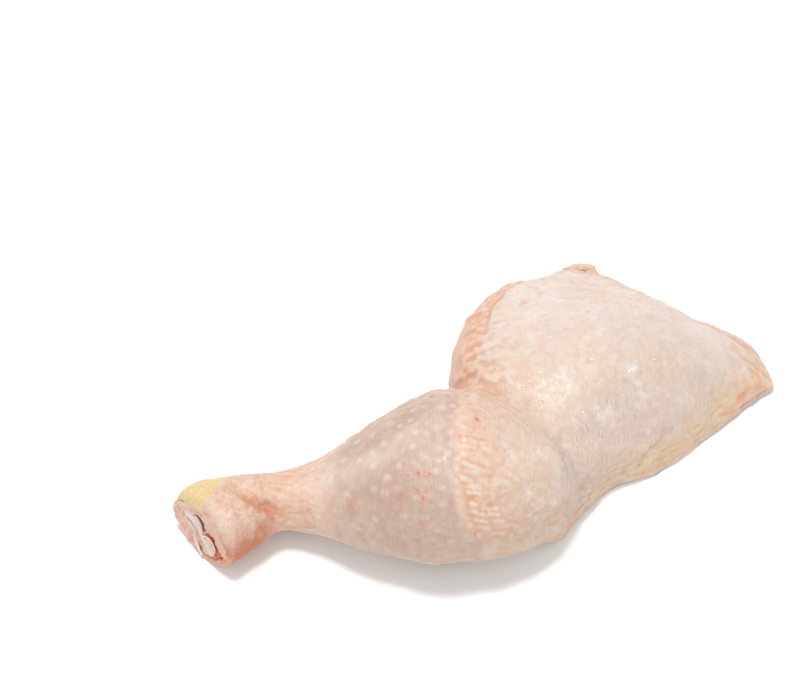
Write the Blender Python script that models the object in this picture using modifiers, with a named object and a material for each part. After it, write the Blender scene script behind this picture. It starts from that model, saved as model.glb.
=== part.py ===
# Raw chicken leg quarter: drumstick and thigh in one skin, lying outer side up on a flat surface.
# Metres, +Z up. The cut hock end points to -X and the thin end of the thigh to +X.
# The tables below give the form of a leg FORM_LENGTH long in a working frame. The last step
# brings it to LEG_LENGTH and makes the centre of its bottom the origin.

import math

import bmesh
import bpy
import numpy as np
from mathutils import Matrix, Vector, noise

# ---- driving dimensions, in metres
LEG_LENGTH = 0.222
FORM_LENGTH = 0.2365
GAP = 0.0003 * FORM_LENGTH / LEG_LENGTH  # between pieces that touch, 0.3 mm once scaled
BODY_TRIANGLES = 7400
VOXEL = 0.0016
SKIN_STEP = 0.0010  # how far the thick thigh skin stands over the drumstick's thin skin

# The drumstick along X: x, middle y, middle z, half width, half height
SHANK_STATIONS = (
    (-0.1195, -0.0520, 0.0140, 0.0150, 0.0125),
    (-0.1110, -0.0545, 0.0140, 0.0174, 0.0142),
    (-0.1010, -0.0545, 0.0142, 0.0180, 0.0150),
    (-0.0900, -0.0500, 0.0144, 0.0152, 0.0132),
    (-0.0780, -0.0447, 0.0144, 0.0117, 0.0110),
    (-0.0640, -0.0440, 0.0162, 0.0152, 0.0136),
    (-0.0500, -0.0440, 0.0200, 0.0228, 0.0196),
    (-0.0350, -0.0425, 0.0232, 0.0294, 0.0245),
    (-0.0200, -0.0405, 0.0250, 0.0352, 0.0275),
    (-0.0040, -0.0398, 0.0242, 0.0336, 0.0268),
    (0.0140, -0.0402, 0.0212, 0.0275, 0.0236),
    (0.0270, -0.0402, 0.0176, 0.0192, 0.0200),
    (0.0370, -0.0392, 0.0135, 0.0115, 0.0135),
)
SHANK_END_LENGTH = 0.012  # over which each end of the drumstick closes

# The thigh seen from above: place, height of its widest level, fullness of the slope above it
# (1 is a round wall, 2 a long slope), and whether the outline has a corner there
THIGH_CROWN = (0.038, 0.006, 0.0415)
THIGH_BOTTOM = -0.002
THIGH_EDGE = {
    "tip": (0.1180, 0.0165, 0.0035, 2.0, True),
    "far shoulder": (0.1082, 0.0372, 0.0035, 1.8, False),
    "far edge": (0.0880, 0.0488, 0.0030, 1.9, False),
    "far edge by the corner": (0.0635, 0.0640, 0.0030, 1.9, False),
    "pelvic corner": (0.0400, 0.0800, 0.0030, 1.9, True),
    "cut notch": (0.0235, 0.0620, 0.0110, 1.5, False),
    "back of the thigh": (0.0060, 0.0550, 0.0130, 1.2, False),
    "left wall": (-0.0085, 0.0340, 0.0150, 1.05, False),
    "behind the crook": (-0.0130, 0.0130, 0.0165, 1.0, False),
    "crook": (-0.0125, -0.0050, 0.0165, 1.0, False),
    "under the drumstick": (0.0020, -0.0440, 0.0140, 1.2, False),
    "knee": (0.0240, -0.0590, 0.0120, 1.15, False),
    "knee end": (0.0350, -0.0475, 0.0070, 1.25, False),
    "hem by the knee": (0.0490, -0.0318, 0.0030, 1.35, False),
    "hem": (0.0655, -0.0255, 0.0025, 1.6, False),
    "hem below the thigh": (0.0840, -0.0120, 0.0025, 1.8, False),
    "lifted hem": (0.1060, 0.0070, 0.0042, 2.0, False),
}

# The bare muscle under the thigh, same form: it shows in the cut notch and under the lifted hem
MEAT_CROWN = (0.040, 0.010, 0.0095)
MEAT_BOTTOM = -0.0005
MEAT_MESH = (44, 16)  # points around and rings
MEAT_EDGE = {
    "tip": (0.1080, 0.0105, 0.0016, 1.6, False),
    "far side": (0.0860, 0.0330, 0.0025, 1.6, False),
    "pelvic side": (0.0480, 0.0540, 0.0045, 1.3, False),
    "notch by the corner": (0.0315, 0.0685, 0.0050, 1.1, False),
    "cut notch": (0.0235, 0.0622, 0.0055, 1.1, False),
    "notch by the back": (0.0155, 0.0575, 0.0050, 1.1, False),
    "back": (0.0120, 0.0420, 0.0045, 1.3, False),
    "crook": (0.0040, 0.0100, 0.0040, 1.3, False),
    "knee": (0.0260, -0.0240, 0.0035, 1.4, False),
    "hem": (0.0620, -0.0120, 0.0025, 1.6, False),
}

# Scrap of fat left at the pelvic corner: centre and radii
CORNER_FAT = (0.0440, 0.0765, 0.0040)
CORNER_FAT_RADII = (0.0022, 0.0050, 0.0030)

# Valley between the knee and the thigh, where the skin spans from one to the other
VALLEY = ((0.060, -0.032, 0.012), (0.042, -0.022, 0.028), (0.020, -0.014, 0.036), (0.000, -0.012, 0.036))
VALLEY_REACH = 0.017
VALLEY_ROUNDS = 90  # of smoothing, strongest along the middle of the valley
SKIN_ROUNDS = 6  # of smoothing over the whole skin

# Line on the drumstick where the thick thigh skin begins: x at its upper, outer and lower side,
# the point it runs round (y, z), and its waves as count round the drumstick, height and phase
SKIN_LINE_X = (-0.0060, -0.0130, -0.0020)
SKIN_LINE_CENTRE = (-0.040, 0.025)
SKIN_LINE_WAVES = ((9, 0.0014, 0.0), (21, 0.0006, 1.0))
SKIN_LINE_BLEND = (0.002, 0.005)  # how far before the line the step starts, and how long it rises
SKIN_STEP_REACH = 0.022  # over which the step sinks back into the knee
KNEE_LIMITS = (0.050, 0.000)  # the knee's ridges stay below this x and this y

# Low relief: height, and lumps a metre along X, Y and Z
KNEE_RIDGES = (0.0007, (50, 120, 120))
WALL_FOLDS = (0.0013, (18, 84, 18))
UNEVENNESS = (0.0005, (70, 70, 70))
WALL_FOLD_START = (0.004, 0.002)  # the folds fade in below this x and above this y
WALL_FOLD_BLEND = (0.012, 0.008)
WALL_FOLD_SLANT = 0.55  # how far a fold moves toward the drumstick for each metre that it climbs

# Crease behind the hock
HOCK_CREASE = (
    (-0.097, -0.046, 0.028),
    (-0.090, -0.050, 0.027),
    (-0.084, -0.053, 0.024),
    (-0.078, -0.053, 0.019),
)
HOCK_CREASE_DEPTH = 0.0018
HOCK_CREASE_WIDTH = 0.0032

# Cut at the hock: a point on its plane and its direction out of the leg
HOCK_CUT = (-0.1096, -0.0570, 0.0120)
HOCK_OUT = (-0.712, -0.671, 0.205)
HOCK_CUTTER_SIZE = (0.06, 0.12, 0.12)
HOCK_RECESS = (0.0078, 0.0151, 0.0101)  # radii: deep, across and high
RECESS_OFFSET = 0.0008  # from the cut's plane out to the middle of the recess
HOLLOW_CENTRE = (-0.1015, -0.0605, 0.0100)
HOLLOW_RADII = (0.0085, 0.0062, 0.0050)
FLOOR_CUTTER_SIZE = (0.6, 0.6, 0.1)

# Shin bone: x, y, z, radius
SHIN_STATIONS = (
    (-0.1095, -0.0512, 0.0150, 0.0058),
    (-0.1030, -0.0508, 0.0148, 0.0066),
    (-0.0930, -0.0488, 0.0146, 0.0050),
    (-0.0760, -0.0447, 0.0148, 0.0038),
    (-0.0500, -0.0440, 0.0185, 0.0040),
    (-0.0250, -0.0425, 0.0215, 0.0055),
    (-0.0080, -0.0415, 0.0215, 0.0090),
    (0.0030, -0.0410, 0.0205, 0.0095),
)
SHIN_END_LENGTH = 0.006
SHIN_MESH = (14, 22)  # points around and rings along

# Cut tendons lying across the hock cut: points and radius
THICK_TENDON = (
    (-0.1155, -0.0475, 0.0185),
    (-0.1125, -0.0532, 0.0170),
    (-0.1075, -0.0600, 0.0120),
    (-0.1050, -0.0632, 0.0085),
)
THICK_TENDON_RADIUS = 0.0019
THIN_TENDON = (
    (-0.1149, -0.0484, 0.0115),
    (-0.1113, -0.0554, 0.0068),
    (-0.1070, -0.0622, 0.0033),
)
THIN_TENDON_RADIUS = 0.0011

# Finish of each piece: material, colour and roughness
FINISHES = {
    "leg_quarter": ("skin", (0.84, 0.66, 0.56), 0.38),
    "inner_meat": ("bare_muscle", (0.62, 0.20, 0.15), 0.32),
    "shin_bone": ("bone_and_cartilage", (0.85, 0.80, 0.78), 0.35),
    "thick_tendon": ("thick_tendon", (0.86, 0.82, 0.82), 0.28),
    "thin_tendon": ("thin_tendon", (0.88, 0.84, 0.82), 0.28),
}


def clear_scene():
    for obj in list(bpy.data.objects):
        bpy.data.objects.remove(obj, do_unlink=True)


def new_collection(name, helper=False):
    collection = bpy.data.collections.new(name)
    bpy.context.scene.collection.children.link(collection)
    collection.hide_render = helper
    return collection


def finish_material(name, colour, roughness):
    material = bpy.data.materials.new(name)
    material.use_nodes = True
    shader = material.node_tree.nodes["Principled BSDF"]
    shader.inputs["Base Color"].default_value = (*colour, 1.0)
    shader.inputs["Roughness"].default_value = roughness
    shader.inputs["Metallic"].default_value = 0.0
    material.diffuse_color = (*colour, 1.0)
    return material


def spline(values, where):
    """Smooth curve through rows of values, read at fractional row numbers."""
    values = np.asarray(values, float)
    where = np.clip(np.asarray(where, float), 0, len(values) - 1)
    row = np.minimum(where.astype(int), len(values) - 2)
    part = (where - row)[..., None]
    before = values[np.maximum(row - 1, 0)]
    start = values[row]
    end = values[row + 1]
    after = values[np.minimum(row + 2, len(values) - 1)]
    return 0.5 * (
        2 * start
        + (end - before) * part
        + (2 * before - 5 * start + 4 * end - after) * part**2
        + (3 * start - before - 3 * end + after) * part**3
    )


def moulded_ball(name, collection, around, rings, mould):
    """A sphere whose points are moved by mould(direction), with the sphere's pole along Z."""
    mesh = bpy.data.meshes.new(name)
    bm = bmesh.new()
    bmesh.ops.create_uvsphere(bm, u_segments=around, v_segments=rings, radius=1.0)
    for vert in bm.verts:
        vert.co = mould(vert.co.normalized())
    if bm.calc_volume(signed=True) < 0:
        bmesh.ops.reverse_faces(bm, faces=bm.faces)
    bm.to_mesh(mesh)
    bm.free()
    obj = bpy.data.objects.new(name, mesh)
    collection.objects.link(obj)
    return obj


def spindle(name, collection, stations, end_length, grow=0.0, around=48, rings=64):
    """A long closed form along X, through stations of x, y, z, half width and half height."""
    table = np.array([row if len(row) == 5 else (*row, row[3]) for row in stations])
    first = table[0, 0] - grow
    last = table[-1, 0] + grow

    def mould(direction):
        along = math.acos(max(-1.0, min(1.0, direction.z))) / math.pi
        x = first + (last - first) * (1 - math.cos(math.pi * along)) / 2
        row = np.interp(x, table[:, 0], np.arange(len(table)))
        _, y, z, half_width, half_height = spline(table, row)
        inside = min(x - first, last - x)
        closing = math.sqrt(max(0.0, 1 - (1 - min(1.0, inside / end_length)) ** 2))
        turn = math.atan2(direction.y, direction.x)
        y += (half_width + grow) * closing * math.cos(turn)
        z += (half_height + grow) * closing * math.sin(turn)
        return Vector((x, y, z))

    return moulded_ball(name, collection, around, rings, mould)


def outline_of(edge, centre):
    """Angle, radius, rim height and fullness round a closed outline given by its landmarks."""
    marks = list(edge.values())
    count = len(marks)
    rows = []
    for index in range(count):
        here = marks[index]
        there = marks[(index + 1) % count]
        before = here if here[4] else marks[index - 1]
        after = there if there[4] else marks[(index + 2) % count]
        span = [row[:4] for row in (before, here, there, after)]
        rows.extend(spline(span, 1 + np.linspace(0, 1, 12, endpoint=False)))
    rows = np.array(rows)
    across = rows[:, :2] - np.array(centre[:2])
    angle = np.unwrap(np.arctan2(across[:, 1], across[:, 0])) % (2 * math.pi)
    order = np.argsort(angle)
    radius = np.hypot(across[:, 0], across[:, 1])
    return angle[order], radius[order], rows[order, 2], rows[order, 3]


def rounded_off(angles, radii, window):
    """The outline's radii averaged over a window of angle, so that its corners are gone."""
    offsets = np.linspace(-window / 2, window / 2, 15)
    read = [np.interp(angles + offset, angles, radii, period=2 * math.pi) for offset in offsets]
    return np.mean(read, axis=0)


def cushion(name, collection, edge, crown, bottom, grow=0.0, around=96, rings=60):
    """A low closed form on the floor: a landmark outline, a crown, a slope and an edge that turns under."""
    angles, radii, rims, fullnesses = outline_of(edge, crown)
    soft_radii = rounded_off(angles, radii, math.radians(80))

    def mould(direction):
        turn = math.atan2(direction.y, direction.x) % (2 * math.pi)
        cornered = np.interp(turn, angles, radii, period=2 * math.pi) + grow
        soft = np.interp(turn, angles, soft_radii, period=2 * math.pi) + grow
        rim = np.interp(turn, angles, rims, period=2 * math.pi)
        fullness = np.interp(turn, angles, fullnesses, period=2 * math.pi)
        drop = math.acos(max(-1.0, min(1.0, direction.z)))
        if drop <= math.pi / 2:
            share = math.sin(drop)
            radius = soft + (cornered - soft) * share**3
            z = rim + (crown[2] - rim) * math.cos(drop) ** fullness + grow
        else:
            below = drop / (math.pi / 2) - 1
            radius = cornered
            under = min(1.0, 2 * below) * math.pi / 2
            turned_in = 0.6 * rim * (1 - math.cos(under))
            share = (1 - turned_in / radius) * min(1.0, 2 * (1 - below))
            z = bottom - grow + (rim + 2 * grow - bottom) * (1 - math.sin(under))
        x = crown[0] + radius * share * math.cos(turn)
        y = crown[1] + radius * share * math.sin(turn)
        return Vector((x, y, z))

    return moulded_ball(name, collection, around, rings, mould)


def ellipsoid(name, collection, centre, radii, out):
    """An ellipsoid whose first radius lies along the direction out, its second across and level."""
    first = Vector(out).normalized()
    second = Vector((0, 0, 1)).cross(first).normalized()
    third = first.cross(second)

    def mould(direction):
        offset = first * direction.x * radii[0] + second * direction.y * radii[1]
        return Vector(centre) + offset + third * direction.z * radii[2]

    return moulded_ball(name, collection, 28, 18, mould)


def tube(name, collection, points, radius, grow=0.0):
    """A round strand through points, as a bevelled curve made into a welded mesh."""
    curve = bpy.data.curves.new(name, "CURVE")
    curve.dimensions = "3D"
    curve.bevel_depth = radius + grow
    curve.bevel_resolution = 3
    curve.use_fill_caps = True
    line = curve.splines.new("POLY")
    smooth = spline(points, np.linspace(0, len(points) - 1, 4 * len(points)))
    outward = smooth[[0, -1]] - smooth[[1, -2]]
    smooth[[0, -1]] += grow * outward / np.linalg.norm(outward, axis=1)[:, None]
    line.points.add(len(smooth) - 1)
    for target, point in zip(line.points, smooth):
        target.co = (*point, 1.0)
    guide = bpy.data.objects.new(name, curve)
    collection.objects.link(guide)
    bpy.context.view_layer.update()
    mesh = bpy.data.meshes.new_from_object(guide.evaluated_get(bpy.context.evaluated_depsgraph_get()))
    bpy.data.objects.remove(guide, do_unlink=True)
    bm = bmesh.new()
    bm.from_mesh(mesh)
    bmesh.ops.remove_doubles(bm, verts=bm.verts, dist=0.00001)
    bmesh.ops.recalc_face_normals(bm, faces=bm.faces)
    bm.to_mesh(mesh)
    bm.free()
    obj = bpy.data.objects.new(name, mesh)
    collection.objects.link(obj)
    return obj


def apply_modifiers(obj):
    """Make the object's mesh what its modifiers give, and drop them."""
    bpy.context.view_layer.update()
    mesh = bpy.data.meshes.new_from_object(obj.evaluated_get(bpy.context.evaluated_depsgraph_get()))
    obj.modifiers.clear()
    obj.data = mesh


def join_meshes(name, collection, pieces):
    """One object holding the faces of all the pieces, which are removed."""
    bm = bmesh.new()
    for piece in pieces:
        bm.from_mesh(piece.data)
    mesh = bpy.data.meshes.new(name)
    bm.to_mesh(mesh)
    bm.free()
    for piece in pieces:
        bpy.data.objects.remove(piece, do_unlink=True)
    obj = bpy.data.objects.new(name, mesh)
    collection.objects.link(obj)
    return obj


def distance_to_line(point, line):
    """Distance from a point to a chain of straight runs."""
    best = math.inf
    for start, end in zip(line, line[1:]):
        start = Vector(start)
        run = Vector(end) - start
        share = max(0.0, min(1.0, (point - start).dot(run) / run.length_squared))
        best = min(best, (point - start - run * share).length)
    return best


def soften_valley(body):
    """Let the skin span the valley between knee and thigh as one soft hollow."""
    group = body.vertex_groups.new(name="valley")
    for vert in body.data.vertices:
        nearness = 1 - distance_to_line(vert.co, VALLEY) / VALLEY_REACH
        if nearness > 0:
            group.add([vert.index], min(1.0, 1.6 * nearness), "REPLACE")
    smooth = body.modifiers.new("SoftValley", "SMOOTH")
    smooth.vertex_group = "valley"
    smooth.factor = 0.5
    smooth.iterations = VALLEY_ROUNDS


def skin_line_x(y, z):
    """Where the thick skin begins, for a place round the drumstick."""
    # 0 at the far side, a quarter turn on top
    turn = math.atan2(z - SKIN_LINE_CENTRE[1], y - SKIN_LINE_CENTRE[0])
    share = (math.cos(turn) + 1) / 2
    wave = sum(size * math.sin(count * turn + phase) for count, size, phase in SKIN_LINE_WAVES)
    upper, outer, lower = SKIN_LINE_X
    if share > 0.5:
        return outer + (upper - outer) * (2 * share - 1) + wave
    return outer + (lower - outer) * (1 - 2 * share) + wave


def lumps(point, kind):
    """Noise of one kind of relief at a point, at that kind's height."""
    size, rate = kind
    return size * noise.noise(Vector(value * count for value, count in zip(point, rate)))


def clamped(value):
    return min(1.0, max(0.0, value))


def relief(point):
    """Height of the folds and ridges over the plain form, along the surface's normal."""
    x, y, z = point
    height = lumps(point, UNEVENNESS)
    # the thick skin's lumpy edge on the drumstick, and the ridges that run from it over the knee
    past = x - skin_line_x(y, z)
    before, rise = SKIN_LINE_BLEND
    if x < KNEE_LIMITS[0] and y < KNEE_LIMITS[1] and past > -before:
        edge = clamped((past + before) / rise)
        fade = math.exp(-max(0.0, past) / SKIN_STEP_REACH)
        height += edge * fade * (SKIN_STEP + lumps(point, KNEE_RIDGES))
    # folds that run down the thigh's left wall
    wall = clamped((WALL_FOLD_START[0] - x) / WALL_FOLD_BLEND[0])
    wall *= clamped((y - WALL_FOLD_START[1]) / WALL_FOLD_BLEND[1])
    height += wall * lumps((x, y + WALL_FOLD_SLANT * z, z), WALL_FOLDS)
    # crease behind the hock
    crease = distance_to_line(point, HOCK_CREASE)
    height -= HOCK_CREASE_DEPTH * math.exp(-((crease / HOCK_CREASE_WIDTH) ** 2))
    return height


def make_body(parts, cutters):
    shank = spindle("shank_form", cutters, SHANK_STATIONS, SHANK_END_LENGTH)
    thigh = cushion("thigh_form", cutters, THIGH_EDGE, THIGH_CROWN, THIGH_BOTTOM)
    fat = ellipsoid("corner_fat_form", cutters, CORNER_FAT, CORNER_FAT_RADII, (0.2, 1.0, 0.0))
    body = join_meshes("leg_quarter", parts, [shank, thigh, fat])
    remesh = body.modifiers.new("OneSkin", "REMESH")
    remesh.mode = "VOXEL"
    remesh.voxel_size = VOXEL
    apply_modifiers(body)
    soften_valley(body)
    smooth = body.modifiers.new("EvenSkin", "SMOOTH")
    smooth.factor = 0.5
    smooth.iterations = SKIN_ROUNDS
    apply_modifiers(body)
    shifts = [vert.normal * relief(vert.co) for vert in body.data.vertices]
    for vert, shift in zip(body.data.vertices, shifts):
        vert.co += shift
    body.data.calc_loop_triangles()
    triangulate = body.modifiers.new("Triangles", "TRIANGULATE")
    triangulate.quad_method = "BEAUTY"
    decimate = body.modifiers.new("Facets", "DECIMATE")
    decimate.ratio = BODY_TRIANGLES / len(body.data.loop_triangles)
    apply_modifiers(body)
    body.vertex_groups.clear()
    return body


def box_cutter(name, collection, centre, size, out=(1.0, 0.0, 0.0)):
    mesh = bpy.data.meshes.new(name)
    bm = bmesh.new()
    bmesh.ops.create_cube(bm, size=1.0)
    bmesh.ops.scale(bm, vec=size, verts=bm.verts)
    turn = Vector((1.0, 0.0, 0.0)).rotation_difference(Vector(out)).to_matrix().to_4x4()
    bm.transform(Matrix.Translation(centre) @ turn)
    bm.to_mesh(mesh)
    bm.free()
    obj = bpy.data.objects.new(name, mesh)
    collection.objects.link(obj)
    return obj


def cut(body, cutter):
    cutter.hide_render = True
    cutter.display_type = "WIRE"
    difference = body.modifiers.new(cutter.name, "BOOLEAN")
    difference.operation = "DIFFERENCE"
    difference.solver = "EXACT"
    difference.object = cutter


def main():
    clear_scene()
    parts = new_collection("chicken_leg_quarter")
    cutters = new_collection("cutters", helper=True)

    body = make_body(parts, cutters)
    meat = cushion("inner_meat", parts, MEAT_EDGE, MEAT_CROWN, MEAT_BOTTOM, 0.0, *MEAT_MESH)
    shin = spindle("shin_bone", parts, SHIN_STATIONS, SHIN_END_LENGTH, 0.0, *SHIN_MESH)
    thick = tube("thick_tendon", parts, THICK_TENDON, THICK_TENDON_RADIUS)
    thin = tube("thin_tendon", parts, THIN_TENDON, THIN_TENDON_RADIUS)

    floor_centre = (0.0, 0.0, -FLOOR_CUTTER_SIZE[2] / 2)
    floor = box_cutter("floor_cutter", cutters, floor_centre, FLOOR_CUTTER_SIZE)
    cut(body, floor)
    cut(meat, floor)
    out = Vector(HOCK_OUT).normalized()
    hock_centre = Vector(HOCK_CUT) + out * (HOCK_CUTTER_SIZE[0] / 2)
    cut(body, box_cutter("hock_cutter", cutters, hock_centre, HOCK_CUTTER_SIZE, out))
    recess_centre = Vector(HOCK_CUT) + out * RECESS_OFFSET
    cut(body, ellipsoid("recess_cutter", cutters, recess_centre, HOCK_RECESS, out))
    cut(body, ellipsoid("hollow_cutter", cutters, HOLLOW_CENTRE, HOLLOW_RADII, out))
    cut(body, spindle("shin_cutter", cutters, SHIN_STATIONS, SHIN_END_LENGTH, GAP, *SHIN_MESH))
    cut(body, tube("thick_tendon_cutter", cutters, THICK_TENDON, THICK_TENDON_RADIUS, GAP))
    cut(body, tube("thin_tendon_cutter", cutters, THIN_TENDON, THIN_TENDON_RADIUS, GAP))
    cut(body, cushion("meat_cutter", cutters, MEAT_EDGE, MEAT_CROWN, MEAT_BOTTOM, GAP, *MEAT_MESH))
    cut(shin, tube("tendon_groove_cutter", cutters, THICK_TENDON, THICK_TENDON_RADIUS, GAP))
    for piece in (body, meat, shin):
        apply_modifiers(piece)

    pieces = (body, meat, shin, thick, thin)
    corners = []
    for piece in pieces:
        piece.data.materials.clear()
        piece.data.materials.append(finish_material(*FINISHES[piece.name]))
        piece.data.shade_smooth()
        corners.extend(vert.co.copy() for vert in piece.data.vertices)
    low = Vector(min(corner[axis] for corner in corners) for axis in range(3))
    high = Vector(max(corner[axis] for corner in corners) for axis in range(3))
    shift = Vector((-(low.x + high.x) / 2, -(low.y + high.y) / 2, -low.z))
    real_size = Matrix.Scale(LEG_LENGTH / (high.x - low.x), 4)
    for piece in pieces:
        piece.data.transform(real_size @ Matrix.Translation(shift))


main()
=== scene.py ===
import math

import bmesh
import bpy
import numpy as np
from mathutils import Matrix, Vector
from mathutils.bvhtree import BVHTree
from mathutils.kdtree import KDTree


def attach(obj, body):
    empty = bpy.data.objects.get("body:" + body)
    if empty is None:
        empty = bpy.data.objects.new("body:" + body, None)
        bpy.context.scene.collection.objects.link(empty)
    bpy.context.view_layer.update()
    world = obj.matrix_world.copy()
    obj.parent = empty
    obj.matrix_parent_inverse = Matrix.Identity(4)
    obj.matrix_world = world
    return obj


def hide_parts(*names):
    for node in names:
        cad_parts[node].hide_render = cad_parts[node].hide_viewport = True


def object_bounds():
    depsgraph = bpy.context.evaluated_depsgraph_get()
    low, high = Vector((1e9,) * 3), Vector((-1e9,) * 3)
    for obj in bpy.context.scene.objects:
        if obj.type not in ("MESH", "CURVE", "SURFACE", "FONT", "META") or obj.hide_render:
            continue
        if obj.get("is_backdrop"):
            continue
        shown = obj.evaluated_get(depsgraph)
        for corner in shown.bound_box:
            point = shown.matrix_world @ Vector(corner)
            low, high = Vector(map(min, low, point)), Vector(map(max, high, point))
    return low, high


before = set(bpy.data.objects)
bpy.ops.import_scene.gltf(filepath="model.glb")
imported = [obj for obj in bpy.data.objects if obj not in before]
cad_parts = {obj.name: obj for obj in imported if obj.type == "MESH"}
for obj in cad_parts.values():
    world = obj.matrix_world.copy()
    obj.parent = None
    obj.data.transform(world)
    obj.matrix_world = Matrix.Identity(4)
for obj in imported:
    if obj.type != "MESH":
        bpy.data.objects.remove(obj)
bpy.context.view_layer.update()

mm = 0.001


def softStep(low, high, value):
    share = np.clip((value - low) / (high - low), 0.0, 1.0)
    return share * share * (3.0 - 2.0 * share)


def bell(value, width):
    return np.exp(-np.square(value / width))


def lengths(vectors):
    return np.sqrt(np.einsum("ij,ij->i", vectors, vectors))


def smoothNoise(points, size, seed, octaves=1):
    # slopes on a lattice of cells, blended: about -1 to 1, lumps about size wide
    random = np.random.default_rng(seed)
    turn = np.linalg.qr(random.normal(size=(3, 3)))[0]
    slopes = random.normal(size=(256, 3))
    slopes /= lengths(slopes)[:, None]
    order = random.permutation(256)
    total = np.zeros(len(points))
    for octave in range(octaves):
        spot = (points @ turn) / (size * 0.5 ** octave) + random.uniform(0, 200, 3)
        cell = np.floor(spot).astype(np.int64)
        part = spot - cell
        fade = part ** 3 * (part * (part * 6 - 15) + 10)
        for corner in np.ndindex(2, 2, 2):
            key = cell + corner
            key = order[(order[(order[key[:, 0] % 256] + key[:, 1]) % 256] + key[:, 2]) % 256]
            weight = np.prod(np.where(corner, fade, 1 - fade), axis=1)
            total += 0.5 ** octave * weight * np.einsum("ij,ij->i", slopes[key], part - corner)
    return total * 1.6


def grainNoise(points, along, longSize, shortSize, seed, waver=0.0, octaves=1):
    # noise drawn out along one direction, its lines wandering by waver
    if waver:
        drift = [smoothNoise(points, longSize * 0.8, seed + 50 + k) for k in range(3)]
        points = points + waver * np.stack(drift, axis=1)
    along = np.array(along, float) / np.linalg.norm(along)
    run = points @ along
    flat = (points - run[:, None] * along) / shortSize + run[:, None] * along / longSize
    return smoothNoise(flat, 1.0, seed, octaves)


def smoothLine(corners, count):
    # a Catmull-Rom curve through the corners
    corners = np.array(corners, float)
    ends = np.vstack([2 * corners[0] - corners[1], corners, 2 * corners[-1] - corners[-2]])
    spots = np.linspace(0, len(corners) - 1, count)
    piece = np.minimum(spots.astype(int), len(corners) - 2)
    t = (spots - piece).reshape(-1, *([1] * (corners.ndim - 1)))
    a, b, c, d = (ends[piece + k] for k in range(4))
    return 0.5 * (2 * b + (c - a) * t + (2 * a - 5 * b + 4 * c - d) * t ** 2 + (3 * b - a - 3 * c + d) * t ** 3)


def nearLine(points, line):
    # gap to the line, how far along it, and its side seen from above (left is positive)
    gap = np.full(len(points), 1e9)
    along = np.zeros(len(points))
    side = np.zeros(len(points))
    passed = 0.0
    for start, end in zip(line[:-1], line[1:]):
        step = end - start
        reach = np.linalg.norm(step)
        out = points - start
        share = np.clip(out @ step / reach ** 2, 0.0, 1.0)
        away = lengths(out - share[:, None] * step)
        closer = away < gap
        gap[closer] = away[closer]
        along[closer] = passed + share[closer] * reach
        side[closer] = np.sign(step[0] * out[closer, 1] - step[1] * out[closer, 0])
        passed += reach
    return gap, along, side, passed


def nearestSeeds(points, seeds, count=1):
    tree = KDTree(len(seeds))
    for index, seed in enumerate(seeds):
        tree.insert(seed, index)
    tree.balance()
    found = [tree.find_n(point, count) for point in points]
    index = np.array([[hit[1] for hit in hits] for hits in found])
    gap = np.array([[hit[2] for hit in hits] for hits in found])
    return index, gap


def newObject(name, mesh):
    piece = bpy.data.objects.new(name, mesh)
    bpy.context.scene.collection.objects.link(piece)
    return piece


def readPoints(mesh):
    points = np.empty(len(mesh.vertices) * 3)
    mesh.vertices.foreach_get("co", points)
    return points.reshape(-1, 3) / mm


def readNormals(mesh):
    normals = np.empty(len(mesh.vertices) * 3, np.float32)
    mesh.vertex_normals.foreach_get("vector", normals)
    return normals.reshape(-1, 3).astype(float)


def writePoints(mesh, points):
    mesh.vertices.foreach_set("co", (points * mm).ravel())
    mesh.update()


def writeMask(mesh, name, values):
    mask = mesh.attributes.new(name, "FLOAT", "POINT")
    mask.data.foreach_set("value", np.asarray(values, np.float32))


def applied(piece):
    graph = bpy.context.evaluated_depsgraph_get()
    mesh = bpy.data.meshes.new_from_object(piece.evaluated_get(graph), depsgraph=graph)
    piece.modifiers.clear()
    piece.data = mesh
    return piece


def remeshed(node, name, voxel):
    # an even, weldable copy of the CAD shape to carve into
    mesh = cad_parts[node].data.copy()
    work = bmesh.new()
    work.from_mesh(mesh)
    bmesh.ops.remove_doubles(work, verts=work.verts, dist=1e-6)
    work.to_mesh(mesh)
    work.free()
    mesh.materials.clear()
    piece = newObject(name, mesh)
    even = piece.modifiers.new("even faces", "REMESH")
    even.mode = "VOXEL"
    even.voxel_size = voxel * mm
    return applied(piece)


def meshLinks(mesh, count):
    ends = np.empty(len(mesh.edges) * 2, np.int32)
    mesh.edges.foreach_get("vertices", ends)
    first, second = ends.reshape(-1, 2).T
    return first, second, np.bincount(first, minlength=count) + np.bincount(second, minlength=count)


def smoothed(mesh, points, share, rounds, back=-0.54):
    # Taubin rounds: even out the facets and keep the volume; share says how much, point by point
    count = len(points)
    first, second, neighbours = meshLinks(mesh, count)
    for turn in range(rounds):
        step = 0.52 if turn % 2 == 0 else back
        for axis in range(3):
            line = points[:, axis]
            total = np.bincount(first, line[second], count) + np.bincount(second, line[first], count)
            points[:, axis] = line + step * share * (total / neighbours - line)
    return points


def hollowness(mesh, points, normals, rounds=2):
    # how far each point sits below its neighbours, in millimetres: troughs above 0, crests below
    count = len(points)
    first, second, neighbours = meshLinks(mesh, count)

    def average(values):
        return (np.bincount(first, values[second], count) + np.bincount(second, values[first], count)) / neighbours

    level = points
    for turn in range(rounds):
        level = np.stack([average(level[:, axis]) for axis in range(3)], axis=1)
    return average(np.einsum("ij,ij->i", level - points, normals))


def thinned(piece, keep, ratio):
    # fewer faces wherever keep is 0
    group = piece.vertex_groups.new(name="thin")
    for index in np.flatnonzero(keep < 0.5):
        group.add([int(index)], 1.0, "REPLACE")
    thin = piece.modifiers.new("thin", "DECIMATE")
    thin.vertex_group = group.name
    thin.ratio = ratio
    piece = applied(piece)
    piece.vertex_groups.clear()
    return piece


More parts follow.
